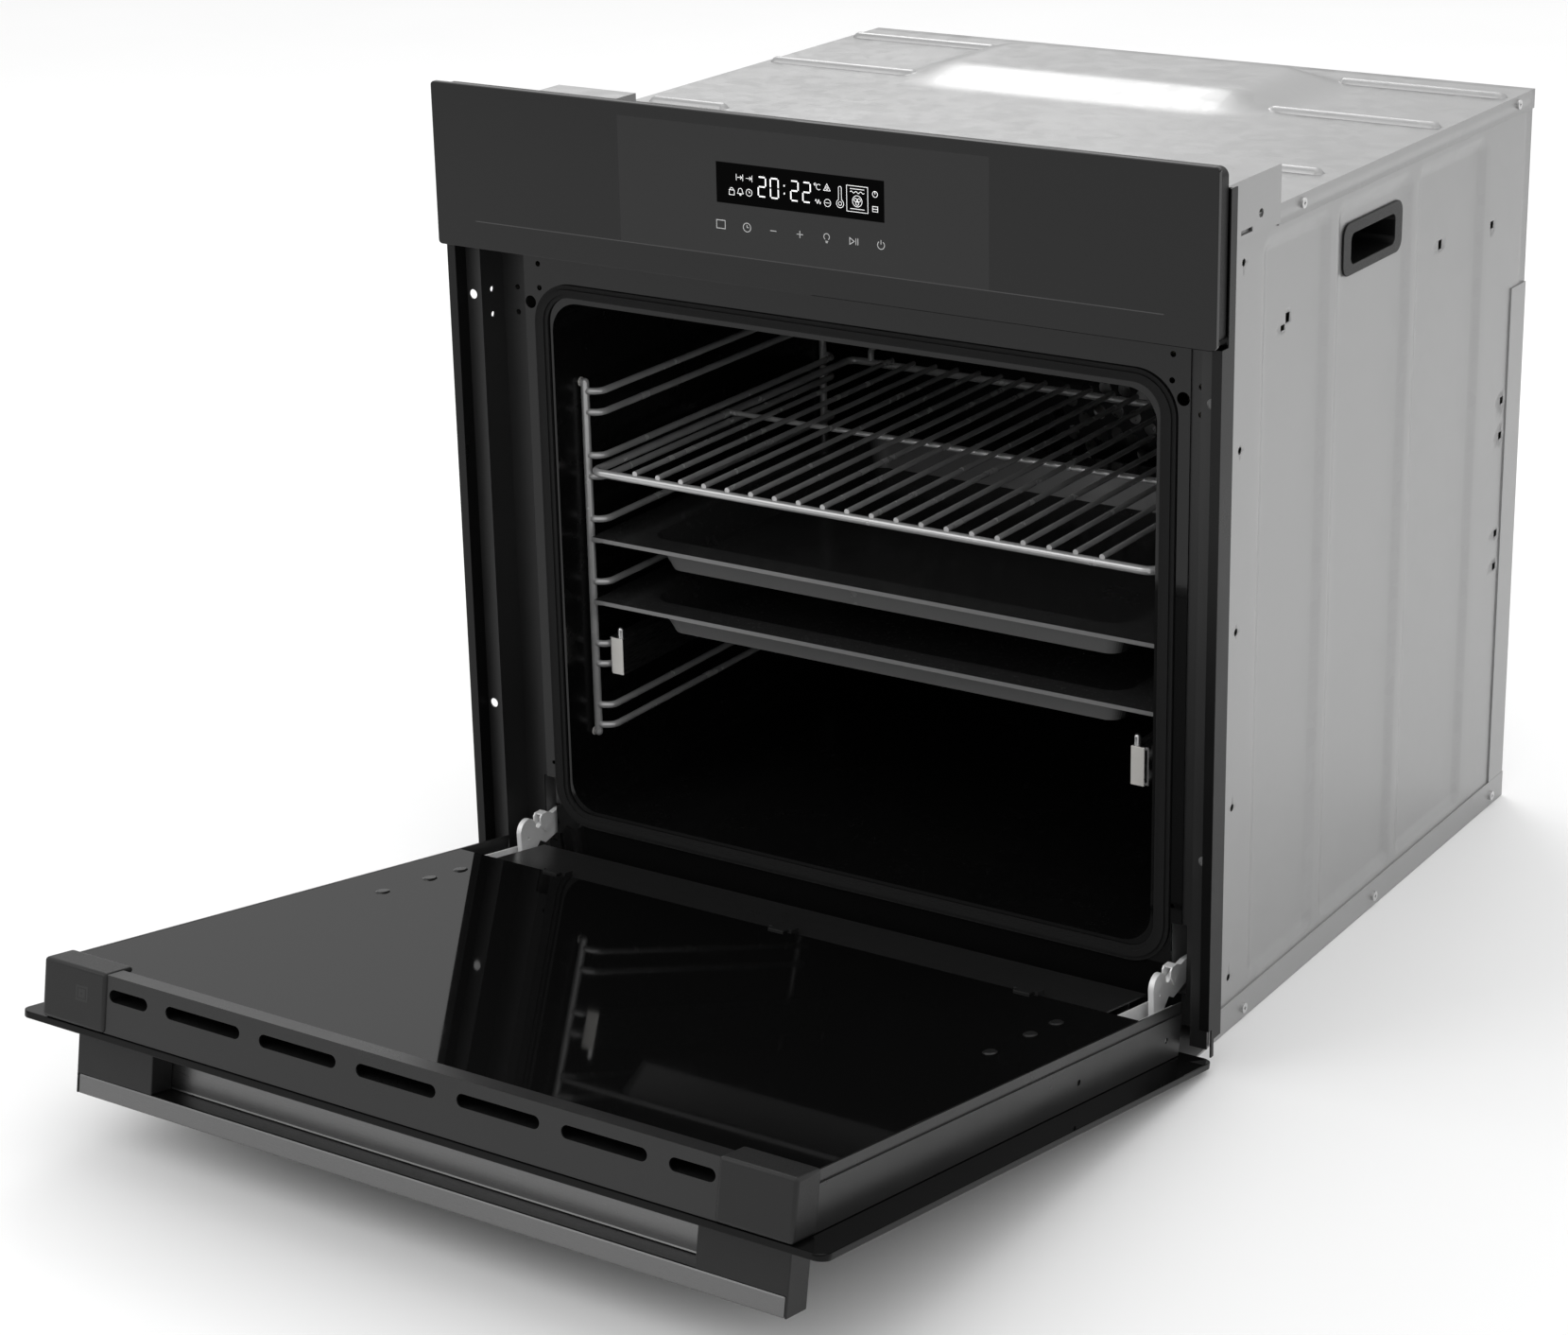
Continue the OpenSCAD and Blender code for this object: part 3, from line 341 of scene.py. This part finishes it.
def light_ceramic(name, tone):
    s = Surface(name, shade(tone, (1.0, 0.98, 0.93)), 0.35, 0.0)
    mottling = s.noise(60, 5, 0.6)
    s.colour(s.blend(mottling, shade(tone * 0.88, (1, 0.98, 0.92)), shade(tone * 1.05, (1, 0.98, 0.94))))
    s.bump(mottling, 0.05 * MM, 0.4)
    return s.material


def symbol_material():
    """White screen print, not quite even."""
    s = Surface("print_white", shade(0.62), 0.5, 0.0)
    ink = s.noise(1500, 3, 0.6)
    s.colour(s.blend(ink, shade(0.52), shade(0.72)))
    return s.material


def digit_material():
    """Lit display segments, with a fine uneven brightness."""
    s = Surface("segment_light", shade(0.6), 0.4, 0.0, Emission_Strength=0.8)
    glow = s.noise(700, 2, 0.4)
    lit = s.blend(glow, shade(0.74), shade(0.95))
    s.colour(lit)
    s.tree.links.new(lit, s.shader.inputs["Emission Color"])
    return s.material


def floor_material():
    s = Surface("floor_paper", shade(0.86), 0.6, 0.0)
    s.colour(s.blend(s.noise(3, 4), shade(0.85), shade(0.88)))
    return s.material


def paint_nodes():
    """Gives every CAD node the procedural finish of its material slot."""
    finishes = {
        "zinc_steel": zinc("zinc_sheet", 0.34, 0.36),
        "screw_steel": brushed("screw_zinc", 0.6, 0.3, (40, 1, 40)),
        "flange_steel": satin_paint("flange_paint", 0.02, 0.42),
        "trim_black": satin_paint("trim_anodised", 0.003, 0.3, 0.0, 0.2),
        "front_enamel": enamel("front_enamel", 0.004, 0.05, 0.012, 0.3),
        "cavity_enamel": enamel("cavity_enamel", 0.003, 0.22, 0.05, 0.2),
        "tray_enamel": tray_material(),
        "panel_glass": panel_glass_material(),
        "door_glass": dark_glass("door_glass_black", 0.003, gloss=0.12).material,
        "middle_glass": dark_glass("middle_glass_tint", 0.02, 0.02).material,
        "display": moulded("display_black", 0.004, 0.3),
        "board": board_material(),
        "backing_plastic": moulded("backing_plastic", 0.01, 0.5),
        "door_plastic": moulded("door_plastic", 0.012, 0.42),
        "grip_plastic": moulded("grip_plastic", 0.003, 0.4),
        "door_metal": satin_paint("door_sheet", 0.022, 0.3, 0.5),
        "handle_metal": brushed("handle_anodised", 0.15, 0.3, (1, 60, 60)),
        "hinge_steel": brushed("hinge_zinc", 0.78, 0.45, (30, 2, 2), metallic=0.2),
        "spring_steel": brushed("spring_steel", 0.3, 0.35, (1, 30, 30)),
        "gasket": gasket_material(),
        "wool": wool_material(),
        "fan_steel": brushed("fan_stainless", 0.5, 0.3, (2, 2, 2)),
        "fan_plastic": moulded("blower_plastic", 0.5, 0.5),
        "motor_metal": motor_material(),
        "element": element_material(),
        "lamp_glass": lamp_material(),
        "chrome_wire": chrome("chrome_wire"),
        "bush": light_ceramic("bush_ceramic", 0.6),
        "terminal": moulded("terminal_plastic", 0.6, 0.45),
        "rail_steel": brushed("rail_stainless", 0.5, 0.28, (60, 1, 60)),
    }
    for part in frame["record"]["subparts"]:
        node = frame["nodes"][part["node"]]
        for place in node.material_slots:
            place.material = finishes[part["material_slot"]]
    return finishes


# ---------- studio ----------

def make_floor():
    size = 12.0
    mesh = bpy.data.meshes.new("studio_floor")
    low = cad_box[0].z - 0.4 * MM
    corners = [(-size, -size, low), (size, -size, low), (size, size, low), (-size, size, low)]
    mesh.from_pydata(corners, [], [(0, 1, 2, 3)])
    floor = bpy.data.objects.new("studio_floor", mesh)
    bpy.context.scene.collection.objects.link(floor)
    mesh.materials.append(floor_material())


def area_light(name, place, target, size, power):
    data = bpy.data.lights.new(name, "AREA")
    data.shape = "RECTANGLE"
    data.size, data.size_y = size
    data.energy = power
    lamp = bpy.data.objects.new(name, data)
    bpy.context.scene.collection.objects.link(lamp)
    lamp.location = place
    direction = Vector(target) - Vector(place)
    lamp.rotation_euler = direction.to_track_quat("-Z", "Y").to_euler()
    return lamp


def make_lights():
    """A white tent that is open near the horizon, with four soft lamps."""
    world = bpy.data.worlds.new("studio_world")
    world.use_nodes = True
    tree = world.node_tree
    sky = tree.nodes["Background"]
    source = tree.nodes.new("ShaderNodeTexCoord")
    parts = tree.nodes.new("ShaderNodeSeparateXYZ")
    ramp = tree.nodes.new("ShaderNodeMapRange")
    for key, value in {"From Min": -0.02, "From Max": 0.3, "To Min": 0.14, "To Max": 1.12}.items():
        ramp.inputs[key].default_value = value
    tree.links.new(source.outputs["Generated"], parts.inputs["Vector"])
    tree.links.new(parts.outputs["Z"], ramp.inputs["Value"])
    tree.links.new(ramp.outputs["Result"], sky.inputs["Strength"])
    sky.inputs["Color"].default_value = (1.0, 1.0, 1.0, 1.0)
    bpy.context.scene.world = world
    middle = (0.0, 0.1, 0.35)
    area_light("key_softbox", (-1.6, -2.2, 2.3), middle, (1.6, 1.6), 16)
    area_light("right_softbox", (2.6, 0.4, 1.4), middle, (1.4, 1.6), 5)
    area_light("top_softbox", (0.2, 0.3, 2.6), middle, (2.0, 1.6), 5)
    area_light("back_softbox", (-1.25, 1.75, 2.35), (0.0, 0.35, 0.55), (1.1, 1.1), 15)


def make_camera():
    """A three-quarter view from the right and above, with a long lens."""
    azimuth, elevation, roll = (math.radians(a) for a in (32.76, 18.75, -1.01))
    back = Vector((math.sin(azimuth) * math.cos(elevation), -math.cos(azimuth) * math.cos(elevation),
                   math.sin(elevation)))
    right = Vector((0, 0, 1)).cross(back).normalized()
    up = back.cross(right)
    turned_right = right * math.cos(roll) + up * math.sin(roll)
    turned_up = -right * math.sin(roll) + up * math.cos(roll)
    data = bpy.data.cameras.new("camera")
    data.sensor_width = 36.0
    data.lens = 80.05
    data.shift_x, data.shift_y = -0.0301, -0.0603
    data.clip_start, data.clip_end = 0.05, 50.0
    camera = bpy.data.objects.new("camera", data)
    bpy.context.scene.collection.objects.link(camera)
    basis = Matrix((turned_right, turned_up, back)).transposed().to_4x4()
    camera.matrix_world = Matrix.Translation((1.1985, -1.8585, 1.0400)) @ basis
    bpy.context.scene.camera = camera


# ---------- shared mesh helpers; all sizes in millimetres ----------

SHEET = 1.2
CASING_H = 552.0
SIDE_X = 278.2
DOOR_H = 476.5


def door_point(x, depth, height):
    """A point of the closed door, by depth from the outer glass and height, swung to its rest place."""
    closed = Vector((x, depth - 21.5, height + 5.0)) * MM
    return DOOR_PIVOT + Matrix.Rotation(DOOR_OPEN, 3, "X") @ (closed - DOOR_PIVOT)


def panel_point(x, z, lift):
    return Vector((x, PANEL_FACE - lift, z)) * MM


def add_piece(name, bm, body, slot, replaced=(), smooth=None):
    """Turns a bmesh into a piece that rides a body and takes the finish of a slot."""
    mesh = bpy.data.meshes.new(name)
    loose = [v for v in bm.verts if not v.link_faces]
    bmesh.ops.delete(bm, geom=loose, context="VERTS")
    bm.to_mesh(mesh)
    bm.free()
    if smooth:
        mesh.shade_smooth()
        mesh.set_sharp_from_angle(angle=math.radians(smooth))
    mesh.materials.append(finishes[slot])
    piece = bpy.data.objects.new(name, mesh)
    bpy.context.scene.collection.objects.link(piece)
    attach(piece, body)
    if replaced:
        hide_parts(*replaced)
    return piece


def thicken(piece, thickness):
    """Gives a sheet its thickness, on the side away from its normals."""
    shell = piece.modifiers.new("thickness", "SOLIDIFY")
    shell.thickness = thickness * MM
    shell.offset = -1.0


def round_edges(piece, radius, segments=3, angle=40):
    edges = piece.modifiers.new("round_edges", "BEVEL")
    edges.width = radius * MM
    edges.segments = segments
    edges.limit_method = "ANGLE"
    edges.angle_limit = math.radians(angle)


def soften_node(name, radius):
    """Small rounds on the sharp edges of a CAD node; its mesh stays as it is."""
    node = frame["nodes"][name]
    weld = node.modifiers.new("weld", "WELD")
    weld.merge_threshold = 0.005 * MM
    merge = node.modifiers.new("merge_flat", "DECIMATE")
    merge.decimate_type = "DISSOLVE"
    merge.angle_limit = math.radians(0.5)
    round_edges(node, radius, 2)


def box_into(bm, place, x, u, v):
    """A box in the coordinates that place turns into points."""
    corners = [[[bm.verts.new(place(a, b, c)) for c in v] for b in u] for a in x]
    flat = [corners[i][j][k] for i in (0, 1) for j in (0, 1) for k in (0, 1)]
    for face in ((0, 1, 3, 2), (4, 6, 7, 5), (0, 4, 5, 1), (2, 3, 7, 6), (0, 2, 6, 4), (1, 5, 7, 3)):
        bm.faces.new([flat[i] for i in face])


# ---------- pressed sheets ----------

def grid_lines(low, high, coarse, zones):
    """Line positions from low to high: wide apart, but close together inside each zone (a, b, step)."""
    count = max(1, round((high - low) / coarse))
    values = {round(low + (high - low) * i / count, 3) for i in range(count + 1)}
    for a, b, step in zones:
        values = {v for v in values if not a < v < b}
        count = max(1, round((b - a) / step))
        values |= {round(a + (b - a) * i / count, 3) for i in range(count + 1)}
    ordered = sorted(v for v in values if low <= v <= high)
    return [v for i, v in enumerate(ordered) if i == 0 or v - ordered[i - 1] > 0.02]


def smoothstep(t):
    t = min(1.0, max(0.0, t))
    return t * t * (3 - 2 * t)


def outside(u, v, box_u, box_v, corner=0.0):
    """Distance from a rectangle with round corners; negative inside it."""
    du = max(box_u[0] - u, u - box_u[1]) + corner
    dv = max(box_v[0] - v, v - box_v[1]) + corner
    return math.hypot(max(du, 0), max(dv, 0)) + min(max(du, dv), 0) - corner


def grid_into(bm, u_lines, v_lines, place, keep, flip=False):
    grid = [[bm.verts.new(place(u, v)) for v in v_lines] for u in u_lines]
    for i in range(len(u_lines) - 1):
        for j in range(len(v_lines) - 1):
            if keep((u_lines[i] + u_lines[i + 1]) / 2, (v_lines[j] + v_lines[j + 1]) / 2):
                ring = (grid[i][j], grid[i + 1][j], grid[i + 1][j + 1], grid[i][j + 1])
                bm.faces.new(ring[::-1] if flip else ring)


RECESS_Y = ((89, 168), (200, 299), (330, 429))
RECESS_Z = (34, 522)
RECESS_DEPTH = 3.0
SLOPE = 12.0
GRIP_OPENING = ((206, 293), (484, 512))
EDGE_HOLES = [(50, 38 + i * 121.5) for i in range(5)]
SIDE_SLOTS = ((115, 467), (122, 473), (241, 471), (368, 469), (455, 465), (489, 326), (489, 299),
              (489, 223), (489, 197))
SLOT_SIZE = (6.6, 5.6)
HOLE_R = 2.6


def side_depth(y, z):
    """How deep the side sheet is pressed in."""
    nearest = min(outside(y, z, box, RECESS_Z) for box in RECESS_Y)
    return RECESS_DEPTH * smoothstep(1 - nearest / SLOPE)


def side_kept(y, z):
    (g0, g1), (h0, h1) = GRIP_OPENING
    in_grip = g0 < y < g1 and h0 < z < h1
    in_hole = any(math.hypot(y - a, z - b) < HOLE_R for a, b in EDGE_HOLES)
    in_slot = any(abs(y - a) < SLOT_SIZE[0] / 2 and abs(z - b) < SLOT_SIZE[1] / 2 for a, b in SIDE_SLOTS)
    return not (in_grip or in_hole or in_slot)


def make_side_sheet(name, side):
    """One side panel: a single sheet with three soft recesses, holes, slots and the grip opening."""
    y_zones = [(box[0] - SLOPE, box[0], 2) for box in RECESS_Y] + [(box[1], box[1] + SLOPE, 2)
                                                                  for box in RECESS_Y]
    z_zones = [(RECESS_Z[0] - SLOPE, RECESS_Z[0], 2), (RECESS_Z[1], RECESS_Z[1] + SLOPE, 2)]
    y_zones += [(y - HOLE_R, y + HOLE_R, 0.5) for y, z in EDGE_HOLES[:1]]
    z_zones += [(z - HOLE_R, z + HOLE_R, 0.5) for y, z in EDGE_HOLES]
    y_zones += [(y - SLOT_SIZE[0] / 2, y + SLOT_SIZE[0] / 2, 3.3) for y, z in SIDE_SLOTS]
    z_zones += [(z - SLOT_SIZE[1] / 2, z + SLOT_SIZE[1] / 2, 2.8) for y, z in SIDE_SLOTS]
    y_zones.append((*GRIP_OPENING[0], 30))
    z_zones.append((*GRIP_OPENING[1], 30))
    bm = bmesh.new()
    grid_into(bm, grid_lines(20.6, 521.8, 12, y_zones), grid_lines(SHEET, CASING_H - SHEET, 12, z_zones),
              lambda y, z: Vector((side * (SIDE_X - side_depth(y, z)), y, z)) * MM, side_kept, side < 0)
    piece = add_piece(name, bm, "casing", "zinc_steel", ["side_panel_left" if side < 0 else
                                                         "side_panel_right"], smooth=35)
    thicken(piece, SHEET)


DOME_X = 166.0
DOME_Y = (320, 506)
DOME_CORNER = 64.0
DOME_SLOPE = 50.0
DOME_RISE = 12.0
RIBS = ((150, 270, 361), (150, 270, 480), (205, 262, 188), (60, 190, 132))
RIB_R = 5.0
FRONT_TAB = 212.0
TAB_END = 96.2
FOLD_H = 14.0


def cover_rise(x, y):
    """Height of the dome and the ribs above the flat of the top cover."""
    inset = -outside(x, y, (-DOME_X, DOME_X), DOME_Y, DOME_CORNER)
    rise = DOME_RISE * smoothstep(inset / DOME_SLOPE)
    for x0, x1, rib_y in RIBS:
        away = math.hypot(max(x0 - abs(x), abs(x) - x1, 0), y - rib_y)
        if away < RIB_R:
            rise = max(rise, math.sqrt(RIB_R ** 2 - away ** 2) - 1)
    return rise


def cover_point(u, y):
    """The cover's edges fold down past the side panels."""
    edge = SIDE_X + SHEET
    side = math.copysign(1, u)
    if abs(u) <= edge:
        return Vector((u, y, CASING_H + cover_rise(u, y))) * MM
    return Vector((side * edge, y, CASING_H - abs(u) + edge)) * MM


def make_top_sheet():
    """The top cover: soft blower dome, half-round ribs, folded edges and a tab between the brackets."""
    edge = SIDE_X + SHEET
    x_zones = [(-DOME_X, -DOME_X + DOME_SLOPE, 4), (DOME_X - DOME_SLOPE, DOME_X, 4)]
    y_zones = [(DOME_Y[0], DOME_Y[0] + DOME_SLOPE, 4), (DOME_Y[1] - DOME_SLOPE, DOME_Y[1], 4)]
    for x0, x1, rib_y in RIBS:
        y_zones.append((rib_y - RIB_R, rib_y + RIB_R, 0.8))
        for side in (-1, 1):
            for end, way in ((x0, -1), (x1, 1)):
                a, b = sorted((side * end, side * (end + way * RIB_R)))
                x_zones.append((a, b, 1))
    x_zones += [(FRONT_TAB - 1, FRONT_TAB, 1), (-FRONT_TAB, 1 - FRONT_TAB, 1)]
    x_zones += [(edge - 1, edge, 1), (-edge, 1 - edge, 1)]
    y_zones.append((TAB_END, TAB_END + 1, 1))
    bm = bmesh.new()
    grid_into(bm, grid_lines(-edge - FOLD_H, edge + FOLD_H, 10, x_zones), grid_lines(-8.8, 523.2, 10, y_zones),
              cover_point, lambda u, y: y > TAB_END or abs(u) < FRONT_TAB)
    piece = add_piece("top_sheet", bm, "casing", "zinc_steel", ["top_cover"], smooth=35)
    thicken(piece, SHEET)


# ---------- printed signs on the control panel ----------

def arc(x, z, r, start=0, end=360, steps=20):
    count = max(3, round(steps * abs(end - start) / 360))
    turns = [math.radians(start + (end - start) * i / count) for i in range(count + 1)]
    return [(x + r * math.cos(a), z + r * math.sin(a)) for a in turns]


def rect(x, z, w, h):
    return [(x - w / 2, z - h / 2), (x + w / 2, z - h / 2), (x + w / 2, z + h / 2), (x - w / 2, z + h / 2),
            (x - w / 2, z - h / 2)]


def stroke_into(bm, points, width, place):
    """A flat line of even width along the points."""
    path = [Vector(p) for p in points]
    closed = len(path) > 3 and (path[0] - path[-1]).length < 1e-6
    pairs = []
    for i, here in enumerate(path):
        before = path[i - 1] if i > 0 else (path[-2] if closed else here)
        after = path[i + 1] if i + 1 < len(path) else (path[1] if closed else here)
        steps = [(b - a).normalized() for a, b in ((before, here), (here, after)) if (b - a).length > 1e-9]
        along = sum(steps, Vector((0, 0))).normalized()
        across = Vector((-along.y, along.x))
        reach = width / 2 / max(0.5, abs(across.dot(Vector((-steps[0].y, steps[0].x)))))
        pairs.append([bm.verts.new(place(*(here + across * reach * side))) for side in (-1, 1)])
    for (a, b), (c, d) in zip(pairs, pairs[1:]):
        bm.faces.new((a, c, d, b))


SEGMENTS = {"0": "abcdef", "2": "abged"}


def digit(sign, x0, x1, z0, z1):
    """The lit strokes of one seven-segment figure, a little apart from each other."""
    mid, cut = (z0 + z1) / 2, 0.55
    lines = {"a": ((x0 + cut, z1), (x1 - cut, z1)), "g": ((x0 + cut, mid), (x1 - cut, mid)),
             "d": ((x0 + cut, z0), (x1 - cut, z0)), "b": ((x1, z1 - cut), (x1, mid + cut)),
             "f": ((x0, z1 - cut), (x0, mid + cut)), "c": ((x1, mid - cut), (x1, z0 + cut)),
             "e": ((x0, mid - cut), (x0, z0 + cut))}
    return [lines[key] for key in SEGMENTS[sign]]


def wave(x0, x1, z, height, turns=3):
    count = turns * 8
    return [(x0 + (x1 - x0) * i / count, z + height * math.sin(2 * math.pi * turns * i / count))
            for i in range(count + 1)]


def arrow(x, z, reach):
    return [[(x - reach, z), (x + reach, z)], [(x + reach - 1.1, z + 1.1), (x + reach, z),
                                               (x + reach - 1.1, z - 1.1)]]


def bell(x, z, r):
    return [arc(x, z + 0.2 * r, 0.7 * r, 0, 180) + [(x - r, z - 0.7 * r), (x + r, z - 0.7 * r),
                                                    (x + 0.7 * r, z + 0.2 * r)], arc(x, z - r, 0.25 * r)]


def clock_face(x, z, r):
    return [arc(x, z, r), [(x, z + 0.6 * r), (x, z), (x + 0.5 * r, z)]]


def display_signs():
    """Small pictograms around the time, as a list of strokes."""
    thin = []
    thin += arrow(-45.7, 559, 1.7) + [[(x, 556.9), (x, 561.1)] for x in (-48.2, -43.2)]
    thin += arrow(-38.8, 559, 2.0) + [[(-36.1, 556.9), (-36.1, 561.1)]]
    thin += [rect(-52, 548.6, 4.0, 3.2), arc(-52, 550.4, 1.3, 0, 180)]
    thin += bell(-45.3, 549.9, 2.2) + clock_face(-38.5, 549.7, 2.3)
    thin += [arc(12.2, 560.6, 0.7), arc(15.0, 559, 1.8, 45, 315)]
    thin += [[(18.7, 557.3), (23.7, 557.3), (21.2, 561.7), (18.7, 557.3)], arc(21.2, 558.9, 0.8)]
    thin += [wave(12.2, 16.4, 549.5, 1.3, 2), arc(21.5, 549.4, 2.4), [(19.9, 549.4), (23.1, 549.4)]]
    thin += [arc(31, 550, 2.7, 115, 425), [(29.9, 552.4), (29.9, 560.2)], [(32.1, 552.4), (32.1, 560.2)],
             arc(31, 560.0, 1.1, 0, 180), arc(31, 550, 1.2)]
    thin += [rect(43.9, 554.15, 15.8, 16.7), [(38.6, 560.6), (49.2, 560.6)], wave(38.6, 49.2, 558.5, 0.6),
             arc(43.9, 552.8, 3.6), [(38.6, 547.7), (49.2, 547.7)]]
    thin += [arc(43.9 + 1.5 * math.cos(a), 552.8 + 1.5 * math.sin(a), 1.1) for a in (0.5, 2.6, 4.7)]
    thin += [arc(57.2, 558.7, 1.9), [(57.2, 558.7), (57.2, 560.6)], rect(57.2, 549.1, 3.8, 3.4),
             [(55.3, 549.1), (59.1, 549.1)]]
    return thin


def touch_signs():
    """Seven touch fields in a row below the display."""
    z, pitch = 526.5, 20.4
    at = [i * pitch for i in range(-3, 4)]
    signs = [rect(at[0], z, 6.7, 5.5)] + clock_face(at[1], z, 2.9)
    signs += [[(at[2] - 2.4, z), (at[2] + 2.4, z)]]
    signs += [[(at[3] - 2.4, z), (at[3] + 2.4, z)], [(at[3], z - 2.4), (at[3], z + 2.4)]]
    signs += [arc(at[4], z + 0.7, 2.1, -55, 235), [(at[4] - 1.1, z - 2.2), (at[4] + 1.1, z - 2.2)],
              [(at[4] - 0.8, z - 3.1), (at[4] + 0.8, z - 3.1)]]
    signs += [[(at[5] - 3, z - 2.2), (at[5] - 3, z + 2.2), (at[5] + 0.4, z), (at[5] - 3, z - 2.2)]]
    signs += [[(at[5] + x, z - 2.2), (at[5] + x, z + 2.2)] for x in (1.7, 3.2)]
    signs += [arc(at[6], z - 0.2, 2.6, -235, 55), [(at[6], z + 0.4), (at[6], z + 3.2)]]
    return signs


def make_print(name, strokes, width, slot, material, lift=0.06):
    """Strokes printed just in front of the panel glass."""
    bm = bmesh.new()
    for points in strokes:
        stroke_into(bm, points, width, lambda x, z: panel_point(x, z, lift))
    piece = add_piece(name, bm, "casing", slot)
    piece.data.materials[0] = material
    thicken(piece, 0.03)


def make_panel_print():
    lit, ink = digit_material(), symbol_material()
    low, high = 548.2, 560.9
    figures = (("2", -31.3, -25.6), ("0", -21.9, -15.9), ("2", -6.3, -0.7), ("2", 2.9, 8.6))
    strokes = [line for sign, x0, x1 in figures for line in digit(sign, x0, x1, low, high)]
    strokes += [[(-11.3, z - 0.55), (-11.3, z + 0.55)] for z in (552.0, 557.1)]
    make_print("time_digits", strokes, 0.9, "display", lit)
    make_print("display_icons", display_signs(), 0.3, "display", lit)
    make_print("touch_symbols", touch_signs(), 0.42, "panel_glass", ink)


# ---------- door details ----------

CAP_X = (226.0, 277.4)
CAP_DEPTH = (0.4, 38.6)
CAP_HEIGHT = (DOOR_H - 24.0, DOOR_H + 0.8)


def make_caps():
    """Moulded corner caps with soft edges; the left one has a square socket in its face."""
    bm = bmesh.new()
    for side in (-1, 1):
        box_into(bm, door_point, sorted((side * CAP_X[0], side * CAP_X[1])), CAP_DEPTH, CAP_HEIGHT)
    bmesh.ops.recalc_face_normals(bm, faces=bm.faces)
    caps = add_piece("door_caps", bm, "door", "door_plastic", ["corner_caps"], smooth=40)
    round_edges(caps, 2.4, 4)
    bm = bmesh.new()
    stroke_into(bm, rect(-245, 22, 8.6, 8.6), 1.3, lambda x, d: door_point(x, d, CAP_HEIGHT[1] + 0.05))
    stroke_into(bm, rect(-245, 22, 3.4, 3.4), 2.2, lambda x, d: door_point(x, d, CAP_HEIGHT[1] + 0.05))
    thicken(add_piece("cap_socket", bm, "door", "door_metal"), 0.6)


PAD_X = 237.7
PAD_HEIGHTS = (113, 147, 198)


def make_glass_pads():
    """Clear buffers at the sides of the inner glass, near the hinges."""
    bm = bmesh.new()
    for side in (-1, 1):
        for height in PAD_HEIGHTS:
            ring = arc(0, 0, 1.0, steps=24)[:-1]
            low = [bm.verts.new(door_point(side * PAD_X + 4.2 * u, 36.5, height + 6.5 * v)) for u, v in ring]
            high = [bm.verts.new(door_point(side * PAD_X + 3.2 * u, 37.3, height + 5.2 * v)) for u, v in ring]
            bm.faces.new(high)
            for i in range(len(ring)):
                j = (i + 1) % len(ring)
                bm.faces.new((low[i], low[j], high[j], high[i]))
    bmesh.ops.recalc_face_normals(bm, faces=bm.faces)
    add_piece("glass_pads", bm, "door", "door_metal", smooth=30)


def make_rail_ends():
    """Light end plates on the pull-out rails, the only part of a rail that the light reaches."""
    for side in ("left", "right"):
        low, high = (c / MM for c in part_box("rail_outer_" + side))
        x = (low.x, low.x + 10) if side == "right" else (high.x - 10, high.x)
        bm = bmesh.new()
        box_into(bm, lambda a, b, c: Vector((a, b, c)) * MM, x, (low.y - 0.4, low.y + 0.8),
                 (low.z - 0.2, low.z + 27.2))
        bmesh.ops.recalc_face_normals(bm, faces=bm.faces)
        round_edges(add_piece("rail_end_" + side, bm, "rail_outer_" + side, "bush"), 0.4)


def soften_nodes():
    """Rounds the edges that catch the light."""
    for name, radius in (("handle_bar", 1.4), ("handle_blocks", 0.8), ("door_top_trim", 0.5),
                         ("panel_glass", 0.5), ("door_outer_glass", 0.6), ("door_inner_glass", 0.4),
                         ("hinge_lever_left", 0.3), ("hinge_lever_right", 0.3), ("hinge_arm_left", 0.4),
                         ("hinge_arm_right", 0.4), ("rail_outer_left", 0.4), ("rail_outer_right", 0.4),
                         ("edge_trim_left", 0.3), ("edge_trim_right", 0.3), ("carry_grips", 0.4)):
        soften_node(name, radius)


# ---------- the scene ----------

bpy.context.scene.view_settings.view_transform = "Standard"
make_camera()
make_floor()
make_lights()
finishes = paint_nodes()
soften_nodes()
make_side_sheet("side_sheet_left", -1)
make_side_sheet("side_sheet_right", 1)
make_top_sheet()
make_panel_print()
make_caps()
make_glass_pads()
make_rail_ends()
